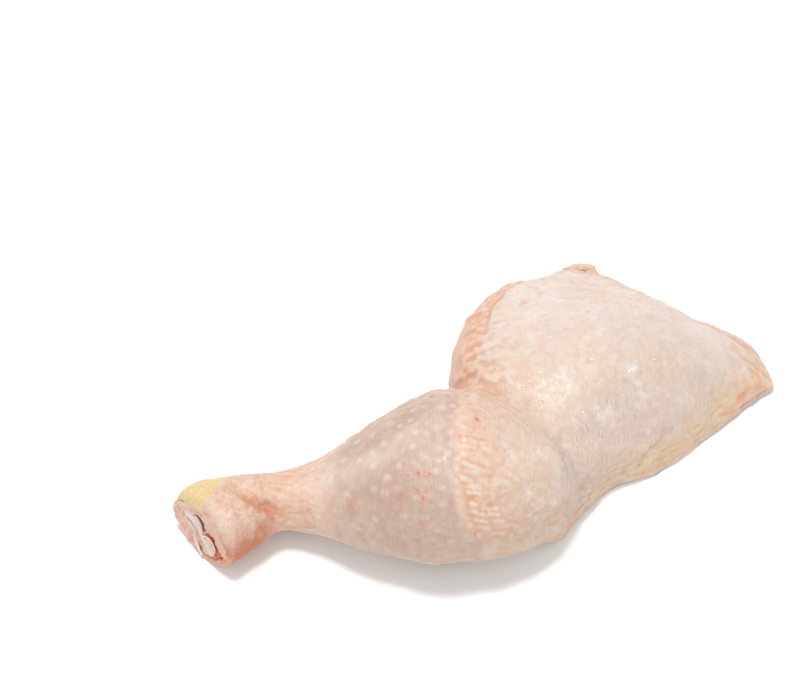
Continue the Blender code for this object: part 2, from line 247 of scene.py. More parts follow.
def closedMesh(name, points, faces):
    mesh = bpy.data.meshes.new(name)
    mesh.from_pydata([tuple(p * mm) for p in points], [], faces)
    work = bmesh.new()
    work.from_mesh(mesh)
    bmesh.ops.recalc_face_normals(work, faces=work.faces)
    work.to_mesh(mesh)
    work.free()
    return newObject(name, mesh)


def strand(name, corners, widths, depths, facing, count=72, around=28, twist=0.0, rough=0.08, seed=1, size=1.6):
    # a flattened, slightly fibrous band along a curve; facing is the way its flat side looks
    line = smoothLine(corners, count)
    share = np.linspace(0, 1, count)
    wide = np.interp(share, np.linspace(0, 1, len(widths)), widths)
    deep = np.interp(share, np.linspace(0, 1, len(depths)), depths)
    heading = np.gradient(line, axis=0)
    heading /= lengths(heading)[:, None]
    points, faces = [], []
    for ring in range(count):
        across = np.cross(facing, heading[ring])
        across /= np.linalg.norm(across)
        outward = np.cross(heading[ring], across)
        roll = twist * (share[ring] - 0.5)
        a = math.cos(roll) * across + math.sin(roll) * outward
        b = math.cos(roll) * outward - math.sin(roll) * across
        for k in range(around):
            angle = 2 * math.pi * k / around
            points.append(line[ring] + a * wide[ring] * math.cos(angle) + b * deep[ring] * math.sin(angle))
    for ring in range(count - 1):
        for k in range(around):
            low, high = ring * around + k, ring * around + (k + 1) % around
            faces.append((low, high, high + around, low + around))
    faces.append(tuple(range(around))[::-1])
    faces.append(tuple(range((count - 1) * around, count * around)))
    piece = closedMesh(name, points, faces)
    points = readPoints(piece.data)
    lift = rough * grainNoise(points, line[count // 2 + 1] - line[count // 2 - 1], size * 4, size * 0.45, seed, waver=0.4)
    lift += 1.6 * rough * smoothNoise(points, size * 1.5, seed + 5)
    writePoints(piece.data, points + readNormals(piece.data) * lift[:, None])
    return piece


def sheetPiece(name, rows, thick, seed, rough=0.15, ragged=0.8):
    # a thin sheet through rows of points, closed all round, torn along its last row
    lines = np.array([smoothLine(row, 84) for row in np.array(rows, float)])
    last = lines[-1] - lines[-2]
    tear = smoothNoise(lines[-1], 2.6, seed + 3, 3) + 0.5 * smoothNoise(lines[-1], 0.9, seed + 4)
    lines[-1] += last / lengths(last)[:, None] * (ragged * tear)[:, None]
    grid = np.array([smoothLine(lines[:, k], 26) for k in range(84)]).transpose(1, 0, 2)
    high, wide = grid.shape[:2]
    normal = np.cross(np.gradient(grid, axis=1), np.gradient(grid, axis=0))
    normal /= np.linalg.norm(normal, axis=2)[:, :, None]
    flat = grid.reshape(-1, 3)
    lift = rough * smoothNoise(flat, 2.6, seed) + 0.5 * rough * smoothNoise(flat, 1.1, seed + 1)
    grid = grid + normal * lift.reshape(high, wide)[:, :, None]
    edge = np.minimum(np.linspace(1, 0, high)[:, None] * 5 + 0.25, 1)
    half = normal * (thick / 2) * np.broadcast_to(edge, (high, wide))[:, :, None]
    points = np.concatenate([(grid + half).reshape(-1, 3), (grid - half).reshape(-1, 3)])
    other = high * wide
    faces = []
    for r in range(high - 1):
        for c in range(wide - 1):
            a, b = r * wide + c, r * wide + c + 1
            faces.append((a, a + wide, b + wide, b))
            faces.append((a + other, b + other, b + wide + other, a + wide + other))
    for r in range(high - 1):
        for c in (0, wide - 1):
            a, b = r * wide + c, (r + 1) * wide + c
            faces.append((a, a + other, b + other, b))
    for c in range(wide - 1):
        for r in (0, high - 1):
            a, b = r * wide + c, r * wide + c + 1
            faces.append((a, b, b + other, a + other))
    return closedMesh(name, points, faces)


def beadPiece(name, spots, normals, sizes, flatness=0.4):
    # low round beads of moisture sitting on the skin; their near-white colour is a painted glint
    points, faces = [], []
    around, rings = 10, 3
    for spot, normal, size in zip(spots, normals, sizes):
        side = np.cross(normal, (0.3, 0.9, 0.1))
        side /= np.linalg.norm(side)
        other = np.cross(normal, side)
        start = len(points)
        for ring in range(rings):
            tilt = 0.5 * math.pi * ring / rings
            for k in range(around):
                angle = 2 * math.pi * k / around
                flat = side * math.cos(angle) * size[0] + other * math.sin(angle) * size[1]
                points.append(spot + flat * math.cos(tilt) + normal * (size[1] * flatness * math.sin(tilt) - 0.02))
        points.append(spot + normal * size[1] * flatness)
        for ring in range(rings - 1):
            for k in range(around):
                a, b = start + ring * around + k, start + ring * around + (k + 1) % around
                faces.append((a, b, b + around, a + around))
        top = start + (rings - 1) * around
        for k in range(around):
            faces.append((top + k, top + (k + 1) % around, start + rings * around))
        faces.append(tuple(start + k for k in range(around))[::-1])
    return closedMesh(name, points, faces)


def finished(piece, material, slotName, *nodes):
    piece.data.materials.clear()
    piece.data.materials.append(material)
    piece.data.polygons.foreach_set("use_smooth", [True] * len(piece.data.polygons))
    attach(piece, "root")
    if nodes:
        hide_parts(*nodes)
    print(f"{piece.name}: {sum(len(f.vertices) - 2 for f in piece.data.polygons)} triangles")
    return piece


class Signal:
    # a socket that can be added, multiplied and mixed like a number

    def __init__(self, tree, socket):
        self.tree = tree
        self.socket = socket

    def make(self, kind, settings=None, inputs=None, output=0, stops=None):
        node = self.tree.nodes.new("ShaderNode" + kind)
        for key, value in (settings or {}).items():
            setattr(node, key, value)
        if stops:
            ramp = node.color_ramp
            while len(ramp.elements) < len(stops):
                ramp.elements.new(0.5)
            for element, (spot, colour) in zip(ramp.elements, stops):
                element.position = spot
                element.color = (*colour, 1.0) if isinstance(colour, tuple) else (colour, colour, colour, 1.0)
        for key, value in (inputs or {}).items():
            if isinstance(key, int):
                socket = node.inputs[key]
            else:
                socket = next(s for s in node.inputs if key in (s.identifier, s.name))
            if isinstance(value, Signal):
                self.tree.links.new(value.socket, socket)
            elif socket.type == "RGBA" and len(value) == 3:
                socket.default_value = (*value, 1.0)
            else:
                socket.default_value = value
        if isinstance(output, int):
            return Signal(self.tree, node.outputs[output])
        return Signal(self.tree, next(s for s in node.outputs if output in (s.identifier, s.name)))

    def maths(self, operation, first, second=0.0, clamp=False):
        return self.make("Math", {"operation": operation, "use_clamp": clamp}, {0: first, 1: second})

    def __add__(self, other):
        return self.maths("ADD", self, other)

    def __radd__(self, other):
        return self.maths("ADD", other, self)

    def __sub__(self, other):
        return self.maths("SUBTRACT", self, other)

    def __rsub__(self, other):
        return self.maths("SUBTRACT", other, self)

    def __mul__(self, other):
        return self.maths("MULTIPLY", self, other)

    def __rmul__(self, other):
        return self.maths("MULTIPLY", other, self)

    def __truediv__(self, other):
        return self.maths("DIVIDE", self, other)

    def __rtruediv__(self, other):
        return self.maths("DIVIDE", other, self)

    def __pow__(self, other):
        return self.maths("POWER", self, other)

    def __neg__(self):
        return self.maths("MULTIPLY", self, -1.0)

    def absolute(self):
        return self.maths("ABSOLUTE", self)

    def clamped(self):
        return self.maths("ADD", self, 0.0, clamp=True)

    def between(self, low, high):
        settings = {"interpolation_type": "SMOOTHSTEP"}
        return self.make("MapRange", settings, {"Value": self, "From Min": low, "From Max": high})

    def mixed(self, first, second):
        # this signal picks between two colours
        inputs = {"Factor_Float": self, "A_Color": first, "B_Color": second}
        return self.make("Mix", {"data_type": "RGBA"}, inputs, "Result_Color")

    def noise(self, size, detail=2.0, roughness=0.5, distortion=0.0):
        # this signal is the place; size in millimetres
        inputs = {"Vector": self, "Scale": 1 / (size * mm), "Detail": detail, "Roughness": roughness, "Distortion": distortion}
        return self.make("TexNoise", {}, inputs, "Fac")

    def threads(self, long, short, turn, detail=3.0, roughness=0.6):
        # fine lines drawn out along the turned y axis, sizes in millimetres
        sizes = (short * mm, long * mm, 0.5 * (long + short) * mm)
        drawn = self.make("Mapping", {"vector_type": "TEXTURE"}, {"Vector": self, "Rotation": turn, "Scale": sizes})
        return drawn.noise(1000.0, detail, roughness, 0.35)

    def cells(self, size):
        # distance from the nearest cell wall, in cells
        settings = {"feature": "DISTANCE_TO_EDGE"}
        return self.make("TexVoronoi", settings, {"Vector": self, "Scale": 1 / (size * mm), "Randomness": 0.75}, "Distance")

    def attribute(self, name):
        return self.make("Attribute", {"attribute_name": name}, output="Fac")


def newMaterial(name):
    material = bpy.data.materials.new(name)
    material.use_nodes = True
    tree = material.node_tree
    shader = tree.nodes["Principled BSDF"]
    start = Signal(tree, shader.outputs[0])
    return material, shader, start, start.make("TexCoord", output="Object")


def plug(shader, name, value):
    socket = shader.inputs[name]
    if isinstance(value, Signal):
        value.tree.links.new(value.socket, socket)
    elif socket.type == "RGBA":
        socket.default_value = (*value, 1.0)
    else:
        socket.default_value = value


def linear(red, green, blue, shade=0.64):
    # a colour as it looks under the studio light, turned into the surface's own
    values = []
    for value in (red, green, blue):
        value /= 255
        values.append(shade * (value / 12.92 if value <= 0.04045 else ((value + 0.055) / 1.055) ** 2.4))
    return tuple(values)


bodyLook = {
    "voxel": 0.66,
    "smoothRounds": 40,
    "underRatio": 0.30,
}

# the flat cut through the hock
cutPoint = np.array([-102.6, -55.1, 11.3])
cutOut = np.array([-0.712, -0.671, 0.205])
cutOut /= np.linalg.norm(cutOut)
cutAcross = np.cross(cutOut, (0, 0, 1))
cutAcross /= np.linalg.norm(cutAcross)
cutUp = np.cross(cutAcross, cutOut)
if cutUp[2] < 0:
    cutUp = -cutUp

print("remeshing the leg")
body = remeshed("leg_quarter", "legSkin", bodyLook["voxel"])
place = readPoints(body.data)
fromCut = place - cutPoint
outOfCut = fromCut @ cutOut
atHock = softStep(-88, -94, place[:, 0])
inUp = fromCut @ cutUp
share = 1.0 - 0.75 * bell(np.minimum(outOfCut, 0) * atHock + (1 - atHock) * 99, 5.0) * softStep(4, -1, inUp)
share *= 0.35 + 0.65 * softStep(1.5, 7.0, place[:, 2])
place = smoothed(body.data, place, share, bodyLook["smoothRounds"])

# the knob above the cut is a dome, with no ledge
inAcross = (place - cutPoint) @ cutAcross
outOfCut = (place - cutPoint) @ cutOut
dome = softStep(-7, -2, outOfCut) * softStep(1.0, 1.08, np.hypot(inAcross / 14.1, inUp / 9.4)) * softStep(-1, 3, inUp)
dome *= softStep(-86, -90, place[:, 0])
place = smoothed(body.data, place, dome, 44, 0.3)
place += (0.7 * dome)[:, None] * readNormals(body.data)
writePoints(body.data, place)
facing = readNormals(body.data)
keep = (facing[:, 2] > -0.35) & (place[:, 2] > 1.2) | (place[:, 0] < -84)
body = thinned(body, keep, bodyLook["underRatio"])
place = readPoints(body.data)
facing = readNormals(body.data)
print(f"leg: {len(place)} points, {len(body.data.polygons)} faces")

x, y, z = place.T

# where the drumstick's skin slips under the thigh's, by the angle round the drumstick
lineAngles = (-75, -50, -25, -10, 9, 65, 87, 105, 116, 130, 140, 149, 156, 161, 171, 185, 200, 230, 285)
lineX = (3, -3, -10, -11, -8, -10.2, -11.1, -11.5, -11.3, -11.6, -10.6, -9.1, -6.5, -4, -1.4, 2.3, 6, 9, 3)
roundLeg = np.degrees(np.arctan2(z - 20, y + 36))
roundLeg = np.where(roundLeg < -75, roundLeg + 360, roundLeg)
lineWander = 0.9 * smoothNoise(place, 6.0, 21) + 0.35 * smoothNoise(place, 2.2, 22)
pastLine = x - np.interp(roundLeg, lineAngles, lineX) + lineWander
downLine = np.radians(roundLeg) * 33.0
lineShows = softStep(112, 88, downLine)

# crest of the left wall of the thigh
wallY = (-8, 0, 8, 16.7, 24.4, 32.6, 42, 50, 60, 75)
wallX = (-8, -3, -0.5, 0.8, 2.4, 6.0, 11.2, 17, 25, 36)
pastWall = x - np.interp(y, wallY, wallX)
onWall = softStep(1.8, -2.2, pastWall + smoothNoise(place, 5.0, 23)) * softStep(-6, 0, y)

onDrum = softStep(0.5, -0.5, pastLine) * (1 - onWall)
hem = smoothLine([(22, -60, 6), (27.5, -54.8, 6.9), (31.2, -50.4, 7.9), (46.8, -31.4, 5), (61.8, -24.6, 4),
                  (81.3, -10.8, 3), (101.1, 6.5, 4), (110.1, 13.8, 3.5)], 40)
hemGap, hemAlong, hemSide, hemLength = nearLine(place, hem)
farEdge = smoothLine([(30, 66, 8), (46.5, 60, 6), (60.2, 50, 5), (75.3, 42, 5), (91.2, 37, 5), (104, 26.5, 5),
                      (110, 15, 4)], 40)
farGap, farAlong, farSide, farLength = nearLine(place, farEdge)
underside = softStep(-0.15, -0.6, facing[:, 2])
backSide = softStep(0.25, 0.75, facing[:, 1]) * (1 - underside)

inAcross = (place - cutPoint) @ cutAcross
inUp = (place - cutPoint) @ cutUp
outOfCut = (place - cutPoint) @ cutOut
bowl = np.sqrt((inAcross / 14.1) ** 2 + (inUp / 9.4) ** 2 + (outOfCut / 6.6) ** 2)
bowlFlat = np.hypot(inAcross / 14.1, inUp / 9.4)
hollowLine = smoothLine([(-96.6, -58.4, 11.2), (-95.0, -59.4, 8.0), (-93.2, -61.6, 6.4)], 10)
hollowGap = nearLine(place, hollowLine)[0]
nearCut = softStep(-10, -6, outOfCut) * (x < -84)
bareEnd = nearCut * np.maximum(softStep(1.10, 1.02, bowl), softStep(6.0, 4.5, hollowGap) * (outOfCut < -0.8))
cutRing = nearCut * (1 - bareEnd) * bell(np.minimum(outOfCut + 0.2, 0), 0.9)
cutRim = cutRing * softStep(3.5, -0.5, inUp)
hollow = nearCut * softStep(4.2, 2.2, hollowGap) * softStep(-0.8, -2.2, outOfCut)


def foldLift(line, height, gentle, steep, taper=4.0, steepSide=-1):
    # a soft crest along a line, one flank steeper than the other, its height uneven
    gap, along, side, length = nearLine(place, smoothLine(line, 24))
    width = np.where(side == steepSide, steep, gentle)
    ends = softStep(0, taper, along) * softStep(0, taper, length - along)
    ends *= 1 + 0.45 * smoothNoise(place, 3.0, 30)
    return height * ends / (1 + (gap / width) ** 2.4), ends / (1 + (gap / width) ** 2)


print("leg relief: folds and slow unevenness")
slow = 0.34 * smoothNoise(place, 19, 11) + 0.28 * smoothNoise(place, 8, 12) + 0.12 * smoothNoise(place, 4, 13)
lift = slow * (1 - 0.6 * cutRim) * softStep(0, 2, z)

# the thigh's skin lies over the drumstick's: a soft step, no more
overlap = softStep(-1.6, 1.8, pastLine) * np.exp(-np.maximum(pastLine - 2, 0) / 12)
overlap *= softStep(-35, 5, roundLeg) * softStep(235, 195, roundLeg) * (0.35 + 0.65 * lineShows)
lift += 0.26 * overlap * (1 + 0.7 * smoothNoise(np.stack([pastLine * 0.15, downLine, z * 0], axis=1), 5.0, 24))

foldRows = (
    ([(-11, 0.6, 21.5), (-9.1, 1.0, 24.3), (-7.1, 1.5, 26.8), (-4.1, 1.7, 29.2), (-1.1, -0.5, 30.8), (2.4, -4.2, 33),
      (6.8, -6.4, 34.4)], 1.15, 3.8, 1.0),
    ([(-8, 3.4, 25.5), (-5.2, 4.2, 28.3), (-2.8, 4.9, 29.9), (0.5, 5.1, 31.8), (3.8, 4.7, 33.4), (6.8, 5, 34.6),
      (12.5, 6, 36)], 1.15, 3.4, 1.0),
    ([(-7, 6.6, 26.4), (-4.6, 8, 28.6), (-2.1, 9.1, 30.3), (0.3, 9.7, 31.6), (2.7, 10.8, 32.6), (8.6, 12.2, 34.4)],
     1.0, 3.0, 1.0),
    ([(-6, 12.6, 27), (-3.3, 14.1, 29.1), (-2, 15.2, 29.6), (0.7, 15.3, 31.1), (3.2, 17.4, 31.9)], 0.8, 2.4, 0.9),
    ([(-7, 24, 21.5), (-5.1, 23.7, 24), (-3, 23.3, 26.1), (-0.6, 22, 28.4), (1.4, 19.4, 30.5)], 0.8, 2.4, 0.9),
    ([(-6, 34.2, 14), (-4.8, 33.4, 17.4), (-1.5, 32.8, 22.4), (2.1, 31.6, 26.2), (4.3, 32.5, 26.8)], 0.8, 2.4, 0.9),
    ([(8.5, 24.5, 31.5), (15, 25.5, 34), (21, 24, 36)], 0.3, 2.6, 1.4),
    ([(-94, -59, 23.6), (-89.5, -58.6, 23.8), (-84.5, -57.6, 22.6), (-80.2, -56.6, 20.2)], 1.0, 3.6, 2.0),
    ([(-91, -52.5, 26.4), (-86.5, -54.2, 25.4), (-83.5, -53.2, 24.6), (-80.5, -54.4, 22.6)], 0.3, 3.0, 2.6),
)
folds = np.zeros(len(place))
crests = np.zeros(len(place))
for line, height, gentle, steep in foldRows:
    lifted, crest = foldLift(line, height, gentle, steep)
    folds += lifted
    crests = np.maximum(crests, crest)
lift += folds

# creases: line, depth, width
creaseRows = (
    ([(0.4, 16, 30.8), (1.7, 19.3, 30.7), (2.3, 23.8, 29.6), (3.6, 31, 27.6), (5.8, 35.3, 26.9), (8.1, 38.3, 26.6),
      (10.1, 41.9, 25.2), (13.6, 44.2, 24.8), (17.6, 48, 22.4)], 0.3, 0.8),
    ([(2.4, 22.8, 30.1), (5.4, 22.8, 31.5), (8.5, 23.7, 32.4)], 0.2, 0.8),
    ([(-75.3, -51.7, 19.5), (-76.6, -54.4, 18.8), (-78.8, -56.3, 19.5), (-79.5, -58, 17.8), (-78, -57.3, 16)], 0.3, 1.3),
    ([(-90.5, -66.4, 17.6), (-87.3, -64.9, 16.5), (-85, -63.2, 16.3), (-82.5, -61.5, 15.4), (-79.6, -59.1, 14.5)], 0.4, 1.6),
    ([(56, -28.5, 7.6), (60.7, -22.2, 12.8), (64.4, -19.1, 13.7), (66.2, -16.6, 15.5), (71.8, -12.5, 15)], 0.35, 1.6),
    ([(110, 12.2, 3.4), (106.6, 10.4, 2.6), (104.9, 9.2, 3.2), (100.5, 5.5, 3.5), (96, 2.2, 3.2)], 0.7, 0.8),
)
# creased records each crease's share, used in the colour as painted shade
creased = np.zeros(len(place))
for line, depth, width in creaseRows:
    gap, along, side, length = nearLine(place, smoothLine(line, 24))
    shape = bell(gap, width) * softStep(0, 2.5, along) * softStep(0, 2.5, length - along)
    lift -= depth * shape
    creased = np.maximum(creased, shape * min(depth / 0.7, 1))

# the cut end: tissue fills it to just under the rim, except for one deep hollow
filled = nearCut * softStep(1.02, 0.9, bowlFlat) * (1 - hollow)
level = -3.4 + 0.5 * smoothNoise(place, 4.2, 45)
place = place + cutOut * (filled * np.maximum(level - outOfCut, 0))[:, None]

# hock crease, with the skin bunched on both sides of it
crease = smoothLine([(-90.5, -45.5, 25.6), (-87.5, -47.5, 25.9), (-85, -49.3, 25.8), (-82, -50.9, 24.8),
                     (-78.9, -51.6, 22.9), (-75.6, -51.4, 20.5), (-72.5, -51.5, 18)], 30)
creaseGap, creaseAlong, creaseSide, creaseLength = nearLine(place, crease)
creaseEnds = softStep(0, 9, creaseAlong) * softStep(0, 8, creaseLength - creaseAlong)
creaseDepth = creaseEnds * bell(creaseGap, 1.6)
bunched = 0.32 * (1 + 1.1 * smoothNoise(place, 4.0, 77, 2))
lift += -1.1 * creaseDepth + bunched * creaseEnds * bell(creaseGap - 3.3, 2.2)

# long soft streaks where the skin is stretched toward the far edge
stretch = softStep(24, 8, farGap + 4 * smoothNoise(place, 12, 20)) * (1 - underside)
lift += 0.16 * stretch * grainNoise(place, (0.86, -0.5, -0.1), 26, 2.6, 25, waver=1.5)

# the hem: fine wrinkles along it and an uneven edge
hemBand = softStep(15, 3, hemGap)
hemWrinkles = grainNoise(place, (0.83, 0.52, -0.05), 7.5, 1.25, 26, waver=1.2, octaves=2)
scallops = smoothNoise(np.stack([hemAlong, hemGap * 0.3, z * 0], axis=1), 6.0, 27)
lift += hemBand * 0.22 * hemWrinkles + softStep(8, 1, hemGap) * 0.45 * scallops

# loose folds on the far and under side
lift += backSide * (x > -60) * (0.5 * grainNoise(place, (0.9, 0.2, 0.4), 22, 5.0, 28, waver=3) + 0.2 * smoothNoise(place, 3, 29))
lift *= 1 - 0.7 * cutRim
place = place + facing * lift[:, None]

# the far corner lies lower and blunter than a plain point
corner = bell(lengths(place - np.array([38.5, 70.0, 6.5])), 7.5)
place += corner[:, None] * np.array([0.3, -1.9, -1.2])
place[:, 2] = np.maximum(place[:, 2], 0.0)
writePoints(body.data, place)
facing = readNormals(body.data)
x, y, z = place.T

print("leg relief: follicles, ridges and wrinkles")
surface = BVHTree.FromPolygons([tuple(p) for p in place], [tuple(f.vertices) for f in body.data.polygons])
random = np.random.default_rng(7)


def hitFrom(start, direction):
    hit, normal = surface.ray_cast(Vector(start), Vector(direction))[:2]
    return (None, None) if hit is None else (np.array(hit), np.array(normal))


# feather follicles of the drumstick, in slanting rows round it
drumSeeds = []
for row, station in enumerate(np.arange(-68, 4, 4.7)):
    axisY = np.interp(station, (-75, -45, -15, 10), (-47, -46, -38, -36))
    axisZ = np.interp(station, (-75, -45, -15, 10), (15, 19, 25, 24))
    girth = np.interp(station, (-75, -45, -15, 10), (60, 95, 165, 180))
    number = int(girth / 5.6)
    for k in range(number):
        angle = 2 * math.pi * (k + 0.5 * (row % 2) + random.normal(0, 0.2)) / number
        out = np.array([0, math.cos(angle), math.sin(angle)])
        spot = hitFrom(np.array([station + random.normal(0, 0.9), axisY, axisZ]) + 70 * out, -out)[0]
        if spot is not None:
            drumSeeds.append(tuple(spot))
drumIndex, drumGap = nearestSeeds(place, drumSeeds)
drumIndex, drumGap = drumIndex[:, 0], drumGap[:, 0]
seedSize = random.uniform(0.7, 1.3, len(drumSeeds))[drumIndex]
seedHeight = (random.uniform(0.1, 1.0, len(drumSeeds)) ** 1.3)[drumIndex]
upperDrum = softStep(-62, -46, y) * softStep(16, 32, z)
drumSpots = onDrum * softStep(-70, -58, x)
alongSeed = x - np.array(drumSeeds)[drumIndex, 0]
roundSeed = np.sqrt(np.maximum(drumGap ** 2 - alongSeed ** 2, 0))
lumpShape = bell(drumGap, 1.25 * seedSize)
pairShape = bell(np.abs(alongSeed) - 0.72 * seedSize, 0.42) * bell(roundSeed, 0.95 * seedSize)
bumps = seedHeight * drumSpots * (upperDrum * lumpShape + (1 - upperDrum) * (0.8 * pairShape + 0.35 * lumpShape))
fine = (0.16 + 0.16 * upperDrum) * bumps

# pinches over the knee: short parallel ridges, each from, to, place round the leg, height
kneeRidges = [
    (3.2, 7.9, 57.0, 0.8), (3.4, 7.6, 59.2, 0.7), (9.2, 13.1, 56.2, 0.6), (9.4, 13.0, 58.8, 0.6),
    (3.7, 9.0, 66.8, 1.0), (4.0, 8.6, 69.0, 0.9), (9.2, 12.9, 67.6, 0.7), (1.9, 6.2, 71.4, 0.8),
    (4.3, 9.2, 73.9, 1.0), (4.5, 9.0, 76.2, 1.0), (9.9, 12.6, 75.2, 0.5), (4.3, 9.1, 80.4, 1.0),
    (4.5, 9.0, 82.7, 0.9), (9.9, 13.9, 80.8, 0.9), (10.1, 13.7, 83.3, 0.8), (3.5, 7.6, 86.2, 0.8),
    (3.8, 7.4, 88.8, 0.7), (9.5, 13.4, 86.0, 0.8), (9.8, 13.2, 88.5, 0.6), (15.6, 17.6, 74.5, 0.4),
    (20.6, 22.6, 69.0, 0.35), (2.8, 7.8, 9.5, 0.7), (3.2, 8.2, 12.6, 0.6), (2.0, 6.0, 46.0, 0.4),
    (2.4, 6.5, 51.0, 0.5), (8.0, 11.0, 50.0, 0.3), (2.2, 5.0, 62.5, 0.5), (14.5, 16.5, 62.0, 0.3),
]
for k in range(46):
    start = random.uniform(2, 30)
    kneeRidges.append((start, start + random.uniform(0.5, 2.2), random.uniform(38, 100), random.uniform(0.12, 0.38)))
for down in (64.5, 68.6, 72.4, 77.0, 80.2, 85.0, 88.4, 92.6):
    kneeRidges.append((0.5, 1.5, down + random.normal(0, 0.5), random.uniform(0.45, 0.8)))
ridgeAlong = pastLine + 0.8 * smoothNoise(place, 7.5, 46)
ridgeAcross = downLine - 0.18 * pastLine + 0.7 * smoothNoise(place, 5.5, 47) + 0.3 * smoothNoise(place, 2.6, 48)
onKnee = softStep(-1.5, 0.5, pastLine) * softStep(40, 26, pastLine) * softStep(-14, 4, downLine)
onKnee *= softStep(112, 100, downLine) * softStep(3, -9, y) * (1 - onWall)
near = onKnee > 0.001
ridges = np.zeros(len(place))
ridgeGaps = np.zeros(len(place))
ridgeShape = np.zeros(near.sum())
ridgeSkirt = np.zeros(near.sum())
for start, end, down, high in kneeRidges:
    over = np.maximum(np.maximum(start + 0.5 - ridgeAlong[near], ridgeAlong[near] - end + 0.5), 0)
    off = ridgeAcross[near] - down - 0.12 * random.normal() * (ridgeAlong[near] - start)
    ridgeShape = np.maximum(ridgeShape, high * bell(over, 0.9) * bell(off, 1.0))
    ridgeSkirt = np.maximum(ridgeSkirt, high * bell(over, 1.6) * bell(off, 2.3))
ridges[near] = ridgeShape * onKnee[near]
ridgeGaps[near] = np.clip(ridgeSkirt - 1.15 * ridgeShape, 0, 1) * onKnee[near]
ridges *= np.clip(0.75 + 1.3 * smoothNoise(place, 3.0, 19, 2), 0.05, 1.6)
fine += 0.40 * ridges - 0.14 * ridgeGaps

# pocks of the thigh: each a pair of short grooves side by side
onThigh = softStep(6, 22, pastLine) * (1 - onWall) * softStep(0.1, 0.35, facing[:, 2]) * softStep(3, 9, hemGap)
onThigh *= softStep(3, 12, farGap)
pockSeeds = []
for row, line in enumerate(np.arange(-60, 70, 4.6)):
    for column in np.arange(-20, 112, 5.4):
        spot = (column + 2.7 * (row % 2) + 0.35 * line + random.normal(0, 1.0), line + random.normal(0, 1.0))
        if random.random() < 0.85:
            pockSeeds.append(spot)
pockSeeds = np.array(pockSeeds)
near = onThigh > 0.001
pockIndex = np.zeros(len(place), int)
seeds3 = np.column_stack([pockSeeds, np.zeros(len(pockSeeds))])
pockIndex[near] = nearestSeeds(np.column_stack([place[near, :2], np.zeros(near.sum())]), seeds3)[0][:, 0]
pockTurn = random.normal(0.24, 0.16, len(pockSeeds))[pockIndex]
pockSize = random.uniform(0.8, 1.15, len(pockSeeds))[pockIndex]
away = place[:, :2] - pockSeeds[pockIndex]
pockAcross = (away[:, 0] * np.cos(pockTurn) + away[:, 1] * np.sin(pockTurn)) / (0.72 * pockSize)
pockAlong = (away[:, 1] * np.cos(pockTurn) - away[:, 0] * np.sin(pockTurn)) / (0.82 * pockSize)
patchy = np.clip(0.45 + 0.75 * smoothNoise(seeds3, 22, 31), 0.05, 1.0)
patchy *= random.uniform(0.15, 1.0, len(pockSeeds)) * np.clip(1.2 - pockSeeds[:, 1] / 40, 0.2, 1.0)
pockStrength = onThigh * patchy[pockIndex] * softStep(3.0, 2.2, np.hypot(pockAcross, pockAlong))
pockEnds = softStep(1.35, 0.7, np.abs(pockAlong))
fine += pockStrength * pockEnds * (0.13 * bell(pockAcross, 0.6) - 0.07 * bell(np.abs(pockAcross) - 1.1, 0.4)
                                   + 0.08 * bell(np.abs(pockAcross) - 2.0, 0.5))

# dimples and beads along the folds beside the wall
fine += 0.14 * crests * smoothNoise(place, 1.9, 33)
besideWall = bell(pastWall - 5, 6) * softStep(-4, 4, y) * softStep(52, 40, y)
fine += 0.14 * besideWall * grainNoise(place, (0.9, 0.25, 0.2), 4.0, 1.3, 40, waver=0.8)

# wrinkles: along the ankle, fine hair creases on the hock, across the hazy skin before the line
ankle = softStep(-52, -64, x) * (1 - bareEnd)
ankleWaves = grainNoise(place, (0.97, -0.1, 0.05), 6.5, 1.3, 34, waver=1.3, octaves=2)
hockHair = grainNoise(place, (0.72, -0.42, 0.5), 5.0, 0.95, 35, waver=1.4, octaves=2)
onHock = softStep(-72, -82, x) * (1 - bareEnd)
yellowness = -0.89 * (x + 95.3) + 0.45 * (y + 44.6) + 0.9 * smoothNoise(place, 4.0, 41)
yellowPatch = softStep(-0.8, 1.0, yellowness) * onHock * softStep(3, 9, z) * (1 - cutRim * 0.8)
roughHock = onHock * (1 - yellowPatch)
fine += 0.22 * ankleWaves * ankle * (1 - onHock) + 0.24 * hockHair * roughHock + 0.12 * ankleWaves * roughHock
fine += 0.16 * roughHock * smoothNoise(place, 5.4, 50) * softStep(-66, -76, x)
haze = softStep(-19, -9, pastLine + 3 * smoothNoise(place, 9, 49)) * onDrum * softStep(-66, -48, y) * softStep(-20, -32, y)
fine += 0.035 * haze * grainNoise(place, (0.05, 0.8, 0.35), 7.0, 0.8, 36, waver=0.8, octaves=2)
fine += 0.10 * onWall * grainNoise(place, (0.35, 0.75, 0.5), 9.0, 1.6, 37, waver=1.5, octaves=2)
fine += 0.08 * (1 - ankle) * smoothNoise(place, 1.9, 38, 2) * (0.4 + 0.6 * onThigh)
fine += 0.16 * softStep(1, 8, pastLine) * smoothNoise(place, 3.2, 32, 2)
fine += backSide * 0.25 * grainNoise(place, (0.8, 0.1, 0.6), 8.0, 1.7, 39, waver=1.6, octaves=2)

# inside the cut: lumpy wet tissue
fine += bareEnd * (0.3 * smoothNoise(place, 3.2, 42, 2) + 0.2 * grainNoise(place, cutAcross, 6, 1.1, 43, waver=1.0))
fine *= 1 - 0.6 * cutRim
place = place + facing * fine[:, None]
place[:, 2] = np.maximum(place[:, 2], 0.0)
writePoints(body.data, place)
facing = readNormals(body.data)
x, y, z = place.T
below = hollowness(body.data, place, facing, 3)
# painted shade in the surface's troughs and painted highlight on its crests
troughShade = np.clip(below / 0.06, 0, 1)
rises = np.clip(-below / 0.06, 0, 1)

print("leg masks")


